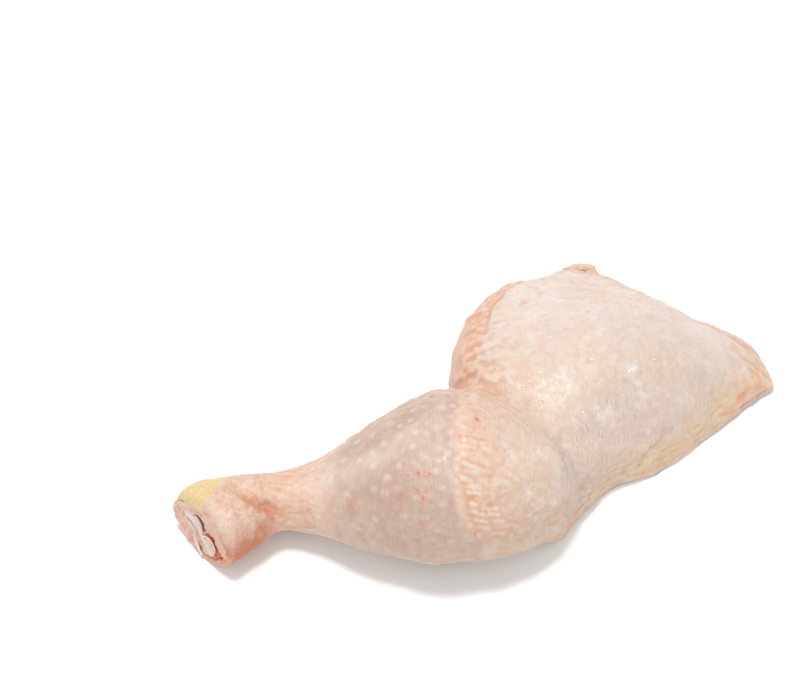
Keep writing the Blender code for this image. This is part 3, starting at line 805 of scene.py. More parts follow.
def spotMask(spots, widths, seed, wobble=0.5):
    # blotches with uneven outlines
    wander = 1 + wobble * smoothNoise(place, 1.8, seed, 2)
    total = np.zeros(len(place))
    for spot, width in zip(spots, widths):
        total = np.maximum(total, bell(lengths(place - np.array(spot)) * wander, width))
    return total


redSpots = spotMask([(-32.6, -40.3, 44.6), (-23.8, -53.1, 45.8), (-22.3, -59.9, 42.9), (-30.1, -59.3, 40.5),
                     (-19.9, -52.6, 46.9), (-47.5, -57, 31.8), (-41.5, -45.2, 40.2), (-63.4, -52.5, 22.5),
                     (-52.3, -60.8, 18.3), (-62.4, -55.7, 16.8), (22.4, 36.5, 31.1), (16.6, 31.1, 32.9),
                     (16.3, -15, 35.5)],
                    [1.1, 1.6, 1.9, 1.2, 1.6, 2.4, 0.9, 2.2, 1.6, 1.4, 1.6, 1.8, 1.7], 51)
redFlecks = spotMask([(-22.3, -60.4, 42.9), (-30.4, -59.6, 40.3), (-4, -68.4, 32.2), (-3.1, -31.2, 47.8),
                      (96.3, 30.7, 9.2)], [0.5, 0.45, 0.6, 0.75, 0.5], 52)
veins = softStep(0.62, 0.9, 1 - np.abs(smoothNoise(place, 6.5, 53, 3)) * 2.6)
redness = 0.6 * redSpots + 0.75 * veins * bell(lengths(place - np.array([-25, -55, 44.0])), 10)
redness += 0.3 * softStep(0.1, 0.7, smoothNoise(place, 7.0, 54, 2)) * onDrum * softStep(-50, -58, y)

# low on the side the drumstick's tone runs into the thigh's with no edge
lineBlur = 1.6 + 11 * softStep(80, 108, downLine)
kneeFade = softStep(42, 6, pastLine) * softStep(-lineBlur, lineBlur, pastLine) * (1 - onWall)
peach = kneeFade * softStep(12, -8, y) * (0.8 + 0.35 * smoothNoise(place, 9, 55)) * softStep(125, 60, downLine)
orangeDots = spotMask([(5.3, 19.9, 32.2), (9.6, 20.3, 33.5), (-2.5, 21.5, 27.3), (-3.4, 12.7, 29.2), (3.9, 10.3, 33.1),
                       (7.8, 11.1, 34.3), (12.9, 10, 35.9), (6.1, 3.7, 34.4), (8.4, 3.5, 35.1), (14, 5.2, 36.4),
                       (19.4, 16.6, 36.6), (11.3, -6, 35.7), (16.6, -6.8, 36.8)], [0.75] * 13, 60, 0.2)
orangePatches = spotMask([(-7.2, -2.7, 26.4), (6.3, -10, 34.1), (-5.5, -26.7, 47.4), (-5.4, -23.6, 45.8),
                          (-4.0, -31.5, 48), (69.4, -20.5, 1), (72.9, -17.5, 4.5), (86.8, -5.8, 4), (94, 0.2, 3.9),
                          (99, 4.2, 3.4), (54.8, 39.8, 24.3), (59.5, 40.8, 22), (41.5, 64, 9), (33, 62, 12)],
                         [2.6, 2.2, 2.6, 2.2, 1.8, 2.4, 1.8, 1.8, 2.0, 2.6, 1.4, 1.4, 2.4, 2.6], 61, 0.8)
# the orange between the knee ridges is painted shade; the wall, dots and patches are the skin's own orange
orange = 1.6 * ridgeGaps * (0.75 + 0.6 * smoothNoise(place, 5, 56)) + 0.75 * onWall + 0.6 * orangeDots + 0.6 * orangePatches
# painted shade: orange in the creases
orange += 0.55 * softStep(0.25, 0.9, creased) * softStep(20, 0, x) * (x > -40)
# painted shade: orange along the fold lines beside the wall
orange += 0.5 * crests * softStep(16, 0, pastWall) * (x > -40) * (0.5 + 0.7 * smoothNoise(place, 3.0, 57))
orange += 0.8 * softStep(9, 2, farGap) * (0.2 + 0.9 * smoothNoise(place, 6, 58, 2))
orange += 0.9 * softStep(7, 1.5, hemGap) * (0.1 + 1.1 * smoothNoise(place, 7, 59, 2))
# painted shade: orange in the troughs of the hem's wrinkles
orange += 0.45 * hemBand * softStep(-0.1, -0.7, hemWrinkles) * (0.4 + 0.8 * smoothNoise(place, 6, 18))
orange += 1.1 * bell(lengths(place - np.array([42, 69, 5.0])), 5)
orange += 0.7 * peach * softStep(0.1, 0.8, smoothNoise(place, 6.0, 62, 2)) * softStep(95, 75, downLine)
orange += 0.35 * softStep(86, 102, x) * (0.6 + 0.9 * smoothNoise(place, 6, 17, 2))

drumTone = softStep(lineBlur, -lineBlur, pastLine) * (1 - onWall) * softStep(-63, -45, x)
pinkEnd = softStep(-48, -66, x) * (1 - bareEnd)
orange += 0.5 * pinkEnd * softStep(0.0, 0.7, smoothNoise(place, 4.5, 16, 2)) * softStep(-60, -72, x)
lowerShade = onHock * softStep(24, 12, z + 2.5 * smoothNoise(place, 4, 15)) * softStep(0.2, -0.4, facing[:, 1])
# painted shade: darker brown in and beside the hock crease
creaseShade = spotMask([(-79.5, -51.8, 22.8), (-76.5, -52.2, 20.2), (-83.5, -50.8, 24.9), (-78.3, -57.2, 17.2)],
                      [3.6, 3.4, 3.0, 2.2], 67, 0.6)
lavender = drumTone * np.clip(0.15 + 0.75 * softStep(0.0, 0.8, facing[:, 2]) + 0.6 * smoothNoise(place, 13, 63, 2), 0, 1)
lavender *= 1 - 0.55 * bell(pastLine, 7) * softStep(90, 60, downLine)
drumBeads = bumps
creamBand = nearLine(place, smoothLine([(-62, -46, 26), (-52, -45, 33), (-44.4, -44.2, 39), (-36, -42, 44), (-27, -37, 47)], 20))[0]
pale = 0.75 * bell(creamBand, 4.5) * (0.65 + 0.6 * smoothNoise(place, 5, 62))
# painted highlight: paler tops on the knee ridges
pale = np.maximum(pale, 0.6 * ridges)
whiteLine = nearLine(place, smoothLine([(25, -32.5, 31.5), (29.6, -31.2, 30.9), (36.3, -28.5, 28.6), (42.3, -25.6, 26.2), (50, -21, 23)], 20))[0]
pale = np.maximum(pale, 0.7 * bell(whiteLine, 0.75) * (0.7 + 0.5 * smoothNoise(place, 3, 65)))
streaks = grainNoise(place, (0.86, -0.5, -0.1), 18, 1.7, 66, waver=1.5, octaves=2)
pale = np.maximum(pale, 0.55 * stretch * softStep(0.0, 0.6, streaks))
orange += 0.35 * stretch * softStep(0.0, -0.6, streaks) * softStep(14, 8, farGap)
# glossy patches: smoother through the wetness mask, and a painted highlight through the lit-top colour
glossAndHighlight = spotMask([(20.5, 45.6, 25), (23, 45.9, 25.1), (25.8, 45.4, 25.8), (23.7, 41.7, 28.2), (34, 57, 15.6), (37, 56, 16)],
                 [2.2, 2.0, 2.2, 1.8, 1.5, 1.5], 68)
grey = spotMask([(30.2, -36.6, 28.7), (36.5, -37.8, 18.5), (81.2, 7.2, 20.2), (90, 10, 15.4), (42, -13.8, 34.5),
                 (57.1, -14.9, 25), (80.6, 18.4, 22.2), (16.8, 28, 33.5), (26, 14, 37)],
                [6, 7, 6, 6, 6, 7, 5, 6, 5], 64)
grey = np.clip(0.8 * grey + 0.75 * softStep(0.05, 0.7, smoothNoise(place, 15, 65, 2)) * onThigh, 0, 1)
fatty = spotMask([(32.6, -25.3, 32.2), (27.3, -19.3, 34.9), (52.1, 35.5, 28.1), (39.1, 9.7, 38.7), (45, -11.6, 34.4),
                  (14.5, 15.5, 35.5), (71, 9.4, 28.1), (77.3, 1.9, 22.1), (20.5, -14, 36.8)],
                 [6, 5, 6, 6, 6, 2.6, 3, 3, 4], 66)
fatty = np.clip(0.75 * fatty + 0.75 * softStep(0.1, 0.8, smoothNoise(place, 9, 69, 2)) * (pastLine > 0), 0, 1)
whiteClouds = np.clip(softStep(0.0, 0.65, smoothNoise(place, 7, 70, 3)) * (0.35 + 0.65 * onThigh), 0, 1) * (1 - 0.7 * onDrum)
# painted light: the thigh paler toward its far, upper side, plus a painted highlight over the glossy patches
paintedLightTop = np.clip(softStep(0, 38, y) * onThigh * (0.6 + 0.5 * smoothNoise(place, 14, 14, 2)) + 0.9 * glossAndHighlight, 0, 1)
pinkClouds = softStep(0.1, 0.75, smoothNoise(place, 10, 75, 2)) * (0.4 + 0.6 * onThigh)
hemTone = softStep(17, 5, hemGap + 2.5 * smoothNoise(place, 7, 73)) * softStep(40, 56, x)
hemTone = np.maximum(hemTone, 0.7 * softStep(9, 2, hemGap))
kneeLow = softStep(-2, 5, pastLine) * softStep(44, 26, pastLine) * softStep(62, 88, downLine) * (1 - underside)
kneeLow *= 0.85 + 0.5 * smoothNoise(place, 8, 76, 2)
# painted shade: a darker tone on the low, front-facing side of the drumstick and knee, where less light falls
paintedShadeLowSide = softStep(-0.2, -0.85, facing[:, 1]) * softStep(24, 8, z) * (x > -70) * softStep(34, 20, x)
specks = spotMask([(-84.9, -53.3, 25.5), (-77.3, -52.8, 20.9), (-77.8, -57.1, 15.9), (-91.7, -63.8, 20.5), (-47.0, -59, 24)],
                  [0.5, 0.35, 0.45, 0.35, 0.35], 71)
wetness = np.clip(0.35 + 0.5 * smoothNoise(place, 12, 72, 2) + 0.5 * bareEnd + 0.25 * stretch + 0.8 * glossAndHighlight, 0, 1)
belowYellow = spotMask([(-97.5, -53.6, 24.5), (-95, -55.5, 24.5), (-92.5, -56.5, 24.5), (-96, -58, 22)], [2.2, 2.2, 2, 2], 74)

masks = {
    "drumTone": drumTone, "lavender": lavender, "peach": peach, "orange": orange, "pale": pale, "grey": grey,
    "fatty": fatty, "hemTone": hemTone, "redness": redness, "flecks": redFlecks, "pinkEnd": pinkEnd,
    "yellowPatch": yellowPatch, "speck": specks, "bareEnd": bareEnd, "hollow": hollow, "drumBeads": drumBeads,
    "cutRim": cutRim * softStep(1.04, 1.14, bowl), "wetness": wetness, "haze": haze, "troughShade": troughShade, "rises": rises,
    "behind": np.maximum(backSide, underside), "whiteClouds": whiteClouds, "paintedShadeLowSide": paintedShadeLowSide, "hock": roughHock,
    "creaseShade": np.maximum(creaseShade, creaseDepth), "lowerShade": lowerShade, "onThigh": onThigh,
    "creased": creased, "upperDrum": upperDrum * onDrum, "belowYellow": belowYellow, "paintedLightTop": paintedLightTop,
    "pinkClouds": pinkClouds, "kneeLow": kneeLow,
    "pockAcross": pockAcross, "pockAlong": pockAlong, "pockStrength": pockStrength,
}
for name, values in masks.items():
    if not name.startswith("pock"):
        values = np.clip(values, 0, 1)
    writeMask(body.data, name, np.clip(values, -9, 9))


skinLook = {
    "cream": linear(238, 218, 204),
    "warm": linear(240, 219, 200),
    "fatty": linear(236, 214, 184),
    "grey": linear(212, 196, 192),
    "pink": linear(243, 206, 192),
    # painted light and highlight, brighter than the skin's own colours
    "paintedLightTop": linear(252, 240, 234, 0.7),
    "kneeLow": linear(226, 192, 162),
    "drum": linear(218, 188, 171),
    "lavender": linear(206, 176, 160),
    "peach": linear(245, 208, 182),
    "pinkEnd": linear(247, 202, 176),
    # also used for painted shade between ridges, in creases, along the wall's folds and in hem wrinkles
    "orange": linear(244, 176, 138),
    "hem": linear(247, 212, 172),
    "white": linear(249, 240, 232),
    "tan": linear(218, 178, 142),
    # also used for the painted shade in troughs and creases
    "trough": linear(222, 164, 132),
    # also used for the painted highlight on crests and ridge tops
    "rise": linear(249, 232, 218),
    "red": linear(228, 140, 112),
    "fleck": linear(214, 88, 54),
    # painted shade colour for the hock crease and the hock's low side
    "shadeBrown": linear(226, 140, 98),
    "paintedShadeLowSide": linear(218, 190, 166),
    "yellow": linear(249, 219, 160),
    "yellowDeep": linear(246, 210, 142),
    "scaleEdge": linear(252, 235, 200),
    "rim": linear(244, 198, 160),
}


def makeSkin(look):
    material, shader, start, spot = newMaterial("skin")
    mask = {name: start.attribute(name) for name in masks}
    broad = spot.noise(18, 3, 0.55)
    middle = spot.noise(4.8, 4, 0.6)
    small = spot.noise(1.1, 3, 0.6)
    clouds = spot.noise(6.5, 5, 0.68, 0.3)
    stains = spot.noise(5.2, 5, 0.7, 0.4)
    fibres = spot.threads(3.6, 0.42, (0.0, 0.0, 0.23))
    fibresToo = spot.threads(3.0, 0.36, (0.2, 0.3, -0.5))
    hair = spot.threads(6.0, 0.42, (0.5, 0.0, 0.05), 2.0)

    colour = broad.between(0.35, 0.65).mixed(look["cream"], look["warm"])
    colour = (mask["fatty"] * middle.between(0.2, 0.65) * 0.85).mixed(colour, look["fatty"])
    colour = (mask["pinkClouds"] * 0.55).mixed(colour, look["pink"])
    colour = (mask["grey"] * middle.between(0.7, 0.25) * 0.8).mixed(colour, look["grey"])
    # painted light on the thigh's top and painted highlight on the glossy patches
    colour = (mask["paintedLightTop"] * 0.78).mixed(colour, look["paintedLightTop"])
    colour = mask["drumTone"].mixed(colour, look["drum"])
    colour = (mask["lavender"] * 0.8).mixed(colour, look["lavender"])
    colour = (mask["peach"] * 0.85).mixed(colour, look["peach"])
    colour = (mask["pinkEnd"] * 0.9).mixed(colour, look["pinkEnd"])
    colour = (mask["behind"] * middle.between(0.2, 0.7) * 0.5).mixed(colour, look["peach"])
    colour = (mask["hemTone"] * (0.55 + 0.5 * middle)).clamped().mixed(colour, look["hem"])
    # painted shade on the low, front-facing side
    colour = (mask["paintedShadeLowSide"] * 0.4).mixed(colour, look["paintedShadeLowSide"])
    colour = (mask["kneeLow"] * 0.75).mixed(colour, look["kneeLow"])
    colour = (stains.between(0.52, 0.7) * 0.4 * (1.0 - 0.4 * mask["drumTone"])).mixed(colour, look["hem"])
    colour = (mask["whiteClouds"] * clouds.between(0.42, 0.62) * 0.75).mixed(colour, look["white"])
    colour = (clouds.between(0.52, 0.68) * 0.34 * (1.0 - 0.65 * mask["drumTone"])).mixed(colour, look["white"])
    colour = (mask["haze"] * (0.1 + 0.32 * hair.between(0.45, 0.62))).clamped().mixed(colour, look["rise"])
    colour = (mask["orange"] * (0.5 + 0.6 * middle)).clamped().mixed(colour, look["orange"])
    # painted shade: darker in the creases
    colour = (mask["creased"] * 0.5).mixed(colour, look["trough"])
    # painted shade in the troughs, painted highlight on the crests
    colour = (mask["troughShade"] * (0.3 + 0.3 * middle) * (1.0 - 0.5 * mask["onThigh"])).clamped().mixed(colour, look["trough"])
    colour = (mask["rises"] * (0.25 + 0.3 * middle)).clamped().mixed(colour, look["rise"])
    colour = (mask["redness"] * small.between(0.35, 0.65)).clamped().mixed(colour, look["red"])
    # painted shade: brown in the hock crease and on the hock's low, front-facing side
    colour = (mask["creaseShade"] * (0.45 + 0.6 * small)).clamped().mixed(colour, look["shadeBrown"])
    colour = (mask["lowerShade"] * (0.8 + 0.5 * middle)).clamped().mixed(colour, look["shadeBrown"])
    colour = (mask["drumBeads"] * (0.24 + 0.16 * mask["upperDrum"]) * (0.5 + middle)).clamped().mixed(colour, look["rise"])
    colour = (mask["pale"] * (0.6 + 0.5 * small)).clamped().mixed(colour, look["rise"])
    colour = (fibres.between(0.56, 0.7) * (0.2 + 0.25 * mask["onThigh"])).mixed(colour, look["white"])
    colour = (fibresToo.between(0.45, 0.32) * (0.16 + 0.3 * mask["hock"])).mixed(colour, look["trough"])
    colour = (fibresToo.between(0.56, 0.7) * (mask["hock"] * 0.55 + mask["belowYellow"] * 0.5)).clamped().mixed(colour, look["white"])
    colour = (mask["flecks"] * 0.95).mixed(colour, look["fleck"])

    # pocks: two short grooves each, drawn from the lattice's own coordinates; tan strokes along the grooves, and a
    # painted highlight on the middle and on one side
    across = mask["pockAcross"].absolute()
    along = mask["pockAlong"].absolute()
    ends = (1.25 - along + 0.5 * (small - 0.5)).between(0.0, 0.5)
    uneven = spot.noise(2.1, 1, 0.5).between(0.3, 0.6)
    stroke = (1.0 - (across - 1.0).absolute() * 1.9).clamped() * ends * mask["pockStrength"]
    lit = (1.0 - (mask["pockAcross"] + 0.2).absolute() * 1.5).clamped() * ends * mask["pockStrength"]
    side = (1.0 - (mask["pockAcross"] - 1.9).absolute() * 1.7).clamped() * ends * mask["pockStrength"]
    colour = (stroke * (0.3 + 0.9 * uneven)).clamped().mixed(colour, look["tan"])
    # painted highlight beside the grooves
    colour = (lit * 0.95 + side * 0.6).clamped().mixed(colour, look["white"])

    walls = spot.cells(1.9)
    yellow = middle.between(0.3, 0.7).mixed(look["yellow"], look["yellowDeep"])
    yellow = (walls.between(0.2, 0.02) * 0.5).mixed(yellow, look["scaleEdge"])
    colour = mask["yellowPatch"].mixed(colour, yellow)
    flesh = middle.between(0.35, 0.62).mixed(linear(244, 206, 184), linear(232, 150, 122))
    colour = mask["bareEnd"].mixed(colour, flesh)
    colour = (mask["hollow"] * 0.95).mixed(colour, linear(214, 88, 56))
    colour = (mask["cutRim"] * 0.9).mixed(colour, look["rim"])
    colour = mask["speck"].mixed(colour, linear(240, 196, 84))
    plug(shader, "Base Color", colour)

    wet = mask["wetness"]
    plug(shader, "Roughness", 0.52 - 0.14 * wet + 0.2 * (small - 0.5))
    plug(shader, "Specular IOR Level", 0.3)
    plug(shader, "Coat Weight", (0.02 + 0.2 * wet * small.between(0.4, 0.65)).clamped())
    plug(shader, "Coat Roughness", 0.18)
    plug(shader, "Subsurface Weight", 0.22)
    plug(shader, "Subsurface Radius", (1.0, 0.42, 0.26))
    plug(shader, "Subsurface Scale", 0.0016)

    finePrint = spot.noise(0.66, 3, 0.6)
    height = 0.00026 * fibres + 0.00016 * finePrint + 0.0003 * fibresToo * (0.4 + mask["hock"]) + 0.00025 * middle
    height = height + 0.00016 * lit - 0.00012 * stroke + 0.00012 * walls.between(0.02, 0.14) * mask["yellowPatch"]
    bump = start.make("Bump", {}, {"Strength": 0.6, "Distance": 1.0, "Height": height}, "Normal")
    plug(shader, "Normal", bump)
    return material


skin = makeSkin(skinLook)
finished(body, skin, "skin", "leg_quarter")


def makeFlesh(name, look):
    material, shader, start, spot = newMaterial(name)
    lumps = spot.noise(look.get("lumps", 3.8), 4, 0.6)
    fibres = spot.threads(*look.get("threads", (5.0, 1.1)), (0.0, 0.0, 0.95))
    fineGrain = spot.noise(0.7, 2, 0.5)
    colour = lumps.between(0.3, 0.68).mixed(look["light"], look["dark"])
    colour = (fibres.between(0.52, 0.75) * 0.6).mixed(colour, look["deep"])
    if "hollow" in look:
        colour = start.attribute("hollow").mixed(colour, look["hollow"])
    plug(shader, "Base Color", colour)
    plug(shader, "Roughness", look.get("rough", 0.34) + 0.14 * fineGrain)
    plug(shader, "Coat Weight", look.get("wet", 0.5))
    plug(shader, "Coat Roughness", 0.1)
    plug(shader, "Subsurface Weight", look.get("scatter", 0.3))
    plug(shader, "Subsurface Radius", (1.0, 0.4, 0.25))
    plug(shader, "Subsurface Scale", 0.0015)
    height = 0.0003 * fibres + 0.0002 * lumps + 0.00008 * fineGrain
    plug(shader, "Normal", start.make("Bump", {}, {"Strength": 0.6, "Distance": 1.0, "Height": height}, "Normal"))
    return material


muscleLook = {
    "light": linear(226, 140, 122),
    "dark": linear(196, 92, 78),
    "deep": linear(238, 190, 172),
    "wet": 0.6,
}
meat = remeshed("inner_meat", "bareMuscle", 0.8)
points = readPoints(meat.data)
points = smoothed(meat.data, points, np.ones(len(points)), 20)
writePoints(meat.data, points)
grain = 0.35 * grainNoise(points, (0.9, 0.4, 0), 18, 2.4, 71, waver=2.0, octaves=2) + 0.25 * smoothNoise(points, 6, 72)
points = points + readNormals(meat.data) * (grain - 0.1)[:, None]
points[:, 2] = points[:, 2].clip(0.0)
writePoints(meat.data, points)
finished(meat, makeFlesh("bare muscle", muscleLook), "bare_muscle", "inner_meat")

boneLook = {
    "light": linear(244, 226, 214),
    "dark": linear(240, 208, 192),
    "deep": linear(228, 160, 138),
    "wet": 0.5,
    "threads": (3.3, 3.3),
}
bone = remeshed("shin_bone", "shinBone", 0.7)
points = readPoints(bone.data)
points = smoothed(bone.data, points, np.ones(len(points)), 16)
writePoints(bone.data, points)
lumps = 0.16 * smoothNoise(points, 3.0, 73, 2) + 0.05 * smoothNoise(points, 1.2, 74)
writePoints(bone.data, points + readNormals(bone.data) * (lumps - 0.05)[:, None])
finished(bone, makeFlesh("cartilage", boneLook), "bone_and_cartilage", "shin_bone")

# lumpy wet tissue that fills the cut to just under its rim, open round the bone's end, with one hollow
tissueLook = {
    "boneAcross": 0.2,
    "boneUp": 4.3,
    "boneRadius": 2.9,
    "light": linear(248, 212, 190),
    "dark": linear(236, 156, 126),
    "deep": linear(251, 228, 212),
    "hollow": linear(240, 116, 80, 0.95),
    "wet": 0.5,
    "lumps": 2.6,
}
points = []
for ring in range(30):
    for k in range(96):
        angle = 2 * math.pi * k / 96
        reach = 1.07 * (ring + 0.5) / 30
        points.append(cutPoint + cutAcross * 14.1 * reach * math.cos(angle) + cutUp * 9.4 * reach * math.sin(angle))
points = np.array(points)
hollowShare = softStep(3.6, 1.4, nearLine(points + cutOut * -3, hollowLine)[0])
underFlap = softStep(0.5, 6.0, (points - cutPoint) @ cutUp)
level = -0.5 + 0.6 * underFlap + 0.5 * smoothNoise(points, 4.2, 45) + 0.35 * smoothNoise(points, 1.8, 46, 2) - 1.1 * hollowShare
boneGap = np.hypot((points - cutPoint) @ cutAcross - tissueLook["boneAcross"], (points - cutPoint) @ cutUp - tissueLook["boneUp"])
boneOpening = softStep(tissueLook["boneRadius"] + 1.0, tissueLook["boneRadius"] - 0.4, boneGap)
level = level * (1 - boneOpening) - 2.4 * boneOpening
top = points + cutOut * level[:, None]
points = np.concatenate([top, top - 1.2 * cutOut])
faces = [tuple(range(96))[::-1], tuple(range(30 * 96, 31 * 96))]
for ring in range(29):
    for k in range(96):
        a, b = ring * 96 + k, ring * 96 + (k + 1) % 96
        faces.append((a, b, b + 96, a + 96))
        faces.append((a + 2880, a + 2976, b + 2976, b + 2880))
for k in range(96):
    a, b = 29 * 96 + k, 29 * 96 + (k + 1) % 96
    faces.append((a, b, b + 2880, a + 2880))
tissue = closedMesh("cutTissue", points, faces)
writeMask(tissue.data, "hollow", np.tile(hollowShare, 2))
finished(tissue, makeFlesh("cut tissue", tissueLook), "bare_muscle")

tendonLook = {
    "light": linear(248, 234, 226),
    "dark": linear(240, 212, 200),
    "deep": linear(252, 246, 242),
    "wet": 0.7,
    "lumps": 2.2,
    "threads": (4.0, 0.8),
}
tendon = makeFlesh("tendon", tendonLook)
thickLine = [(-107.6, -47.2, 14.6), (-106.3, -48.7, 14.2), (-104.4, -51.3, 15.2), (-102.5, -53.9, 14.4), (-101.5, -55.8, 10.9),
             (-100.3, -57.9, 8.0), (-98.8, -59.8, 5.6), (-97.6, -61.2, 2.6)]
thick = strand("thickTendon", thickLine, (1.0, 1.9, 2.1, 1.9, 1.4, 1.1, 1.3, 1.5, 0.9), (0.4, 0.9, 1.0, 0.9, 0.7, 0.6, 0.5, 0.4, 0.3),
               cutOut, twist=0.5, seed=81, rough=0.10)
finished(thick, tendon, "tendon", "thick_tendon")
loopLine = [(-101.4, -56.4, 9.8), (-99.8, -57.9, 12.4), (-98.0, -59.8, 12.8), (-96.8, -61.4, 11.0), (-97.0, -62.0, 7.6),
            (-98.2, -61.2, 4.6), (-99.4, -60.0, 3.4)]
loop = strand("tendonLoop", loopLine, (0.4, 0.5, 0.5, 0.45, 0.5, 0.6, 0.4), (0.3, 0.4, 0.4, 0.35, 0.35, 0.35, 0.3), cutOut,
              seed=83, rough=0.14)
membraneLook = {
    "light": linear(250, 226, 206),
    "dark": linear(242, 200, 174),
    "deep": linear(252, 238, 224),
    "wet": 0.6,
    "lumps": 2.0,
}
membraneFlesh = makeFlesh("membrane", membraneLook)
finished(loop, membraneFlesh, "tendon")
thin = strand("thinTendon", [(-105.2, -51.2, 10.4), (-104.1, -52.7, 8.6), (-104.0, -54.4, 5.4), (-103.1, -57.0, 2.9), (-101.6, -59.5, 1.6)],
              (0.4, 0.75, 0.85, 0.8, 0.5), (0.3, 0.6, 0.7, 0.6, 0.4), cutOut, twist=0.6, seed=82, rough=0.08)
finished(thin, tendon, "tendon", "thin_tendon")
patch = strand("whitePatch", [(-107.0, -49.0, 10.4), (-105.5, -51.2, 9.7), (-103.8, -53.2, 8.2)], (0.5, 1.5, 1.3, 0.5),
               (0.2, 0.5, 0.5, 0.2), cutOut, seed=84, rough=0.12)
finished(patch, tendon, "tendon")

membrane = strand("loopMembrane", [(-99.8, -57.8, 11.2), (-98.6, -59.4, 9.4), (-98.4, -60.6, 6.2), (-99.0, -60.4, 4.4)],
                  (0.8, 2.1, 2.0, 0.7), (0.3, 0.6, 0.6, 0.3), cutOut, seed=85, rough=0.2)
finished(membrane, membraneFlesh, "tendon")

# torn skin hanging over the right of the cut
flapRows = (
    [(-97.4, -53.4, 24.6), (-95.0, -56.2, 23.4), (-92.4, -59.4, 21.8), (-90.8, -61.6, 19.6), (-89.8, -63.4, 17.2), (-88.2, -65.0, 14.0)],
    [(-100.0, -55.2, 22.4), (-97.3, -58.7, 21.0), (-94.8, -61.7, 19.6), (-93.6, -63.3, 17.6), (-92.6, -65.1, 15.6), (-91.1, -66.9, 13.0)],
    [(-101.4, -54.6, 19.0), (-99.0, -57.6, 17.0), (-96.6, -60.8, 15.6), (-95.6, -62.6, 12.6), (-94.2, -64.4, 11.6), (-92.6, -66.2, 10.2)],
)
flap = sheetPiece("tornSkin", flapRows, 0.7, 86, rough=0.4, ragged=1.8)
flapSpots = readPoints(flap.data)
writeMask(flap.data, "pinkEnd", np.ones(len(flapSpots)))
writeMask(flap.data, "hock", np.ones(len(flapSpots)))
writeMask(flap.data, "orange", 0.6 * softStep(0.0, 0.8, smoothNoise(flapSpots, 3.0, 88, 2)))
finished(flap, skin, "skin")

# a scrap of fat left on the far corner
scrapLook = {
    "light": linear(254, 226, 204),
    "dark": linear(252, 206, 172),
    "deep": linear(254, 238, 222),
    "wet": 0.3,
    "lumps": 2.2,
}
scrap = strand("cornerScrap", [(33.0, 64.4, 8.6), (35.6, 65.6, 7.9), (38.8, 66.6, 7.0), (42.6, 66.6, 5.8), (45.6, 65.6, 4.6)],
               (0.4, 0.9, 1.4, 1.6, 1.3, 0.4), (0.3, 0.7, 0.9, 1.0, 0.8, 0.3), (0, -0.3, 1), seed=87, rough=0.25, size=1.4)
finished(scrap, makeFlesh("fat scrap", scrapLook), "skin")

# beads of moisture, glossy and painted near-white as glints
beadLook = {
    "light": (0.92, 0.91, 0.90),
    "dark": (0.90, 0.87, 0.84),
    "deep": (0.93, 0.93, 0.93),
    "wet": 1.0,
    "rough": 0.06,
}
knownGlints = [
    (3.9, -16.1, 37.8), (0.6, -27.8, 45.7), (-5.7, -39.8, 49.3), (16.8, -5.9, 36.9), (50.1, 18.6, 35.6), (69.6, 15, 28.9),
    (73.7, 9.5, 26.5), (40.7, 2.7, 38.8), (54.5, -0.4, 34.8), (63.1, 5.5, 32.2), (39.6, 3.3, 38.8), (32.6, -19.6, 34.6),
    (22.9, 44.2, 26.5), (9.2, -40.7, 44.2), (14.3, -54.2, 38.1), (43.1, 14.9, 37.7), (29.2, 31.4, 33.7), (33.4, 57.6, 15.4),
    (6.1, -3.7, 34.4), (33, -6.4, 38.4), (-80.8, -53.2, 22.9),
]
beadSpots, beadNormals, beadSizes = [], [], []
for centre in knownGlints:
    for k in range(random.integers(2, 5)):
        offset = random.normal(0, 1.3, 2)
        hit, normal = hitFrom((centre[0] + offset[0], centre[1] + offset[1], 90), (0, 0, -1))
        if hit is not None and normal[2] > 0.4:
            beadSpots.append(hit)
            beadNormals.append(normal)
            beadSizes.append((random.uniform(0.16, 0.5), random.uniform(0.12, 0.26)))
for k in range(170):
    if k < 70:
        start = (random.uniform(-9, 22), random.uniform(-40, -2), 90)
    else:
        start = (random.uniform(0, 95), random.uniform(-30, 45), 90)
    hit, normal = hitFrom(start, (0, 0, -1))
    if hit is not None and normal[2] > 0.75:
        beadSpots.append(hit)
        beadNormals.append(normal)
        beadSizes.append((random.uniform(0.12, 0.36), random.uniform(0.1, 0.2)))
for spot, size in (((54.5, -0.4, 34.8), (0.9, 0.45)), ((53.2, -1.2, 35.0), (0.6, 0.4)), ((55.6, 0.3, 34.4), (0.5, 0.35))):
    hit, normal = hitFrom((spot[0], spot[1], 90), (0, 0, -1))
    beadSpots.append(hit)
    beadNormals.append(normal)
    beadSizes.append(size)
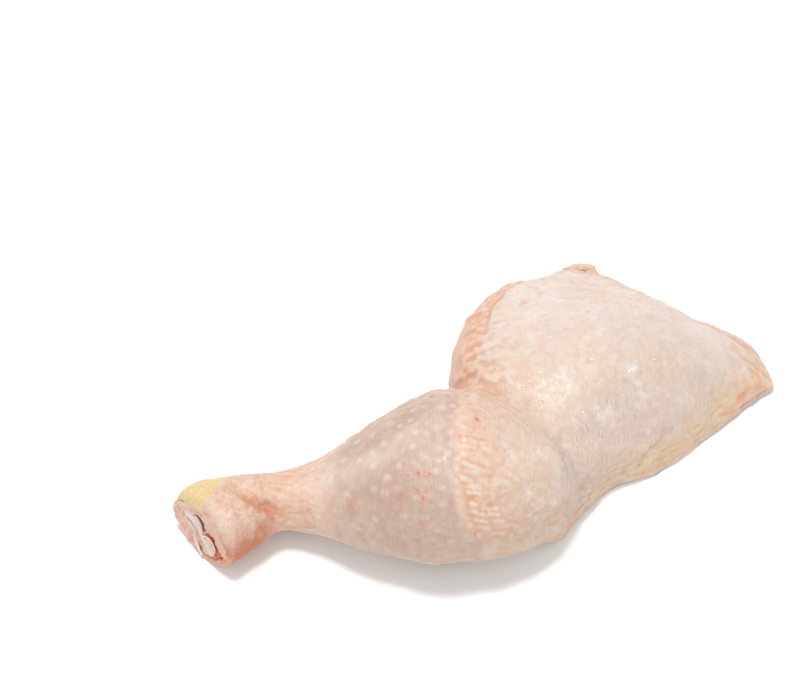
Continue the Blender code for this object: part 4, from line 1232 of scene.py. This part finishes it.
beads = beadPiece("glossyGlintBeads", beadSpots, beadNormals, beadSizes)
finished(beads, makeFlesh("paintedGlints", beadLook), "skin")

print("stage")


def addArea(name, spot, target, size, power, colour=(1.0, 1.0, 1.0)):
    data = bpy.data.lights.new(name, "AREA")
    data.shape = "DISK"
    data.size = size
    data.energy = power
    data.color = colour
    lamp = bpy.data.objects.new(name, data)
    bpy.context.scene.collection.objects.link(lamp)
    lamp.location = spot
    lamp.rotation_euler = (Vector(target) - Vector(spot)).to_track_quat("-Z", "Y").to_euler()
    return lamp


floorMesh = bpy.data.meshes.new("floor")
floorMesh.from_pydata([(-4, -4, 0), (4, -4, 0), (4, 4, 0), (-4, 4, 0)], [], [(0, 1, 2, 3)])
floor = newObject("floor", floorMesh)
paper, paperShader, paperStart, paperSpot = newMaterial("paper")
plug(paperShader, "Base Color", (0.88, 0.88, 0.88))
plug(paperShader, "Roughness", 0.9)
plug(paperShader, "Specular IOR Level", 0.1)
floorMesh.materials.append(paper)
floor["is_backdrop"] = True

world = bpy.data.worlds.new("studio")
bpy.context.scene.world = world
world.use_nodes = True
world.node_tree.nodes["Background"].inputs["Color"].default_value = (1, 1, 1, 1)
world.node_tree.nodes["Background"].inputs["Strength"].default_value = 0.80

addArea("softbox", (-0.15, 0.15, 1.42), (0, 0, 0), 0.34, 14)
addArea("front fill", (-0.1, -1.6, 0.9), (0, 0, 0), 0.8, 6)
addArea("glint", (-0.5, 1.5, 0.9), (0.01, 0, 0.03), 0.12, 1.5)

cameraData = bpy.data.cameras.new("camera")
camera = bpy.data.objects.new("camera", cameraData)
bpy.context.scene.collection.objects.link(camera)
aim = Vector((-0.03024, 0.03259, 0.0))
height = math.radians(55)
camera.location = aim + 0.9756 * Vector((0, -math.cos(height), math.sin(height)))
camera.rotation_euler = (aim - camera.location).to_track_quat("-Z", "Y").to_euler()
cameraData.sensor_width = 36
cameraData.lens = 114.75
cameraData.clip_end = 20
bpy.context.scene.camera = camera
bpy.context.scene.view_settings.view_transform = "Standard"

low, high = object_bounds()
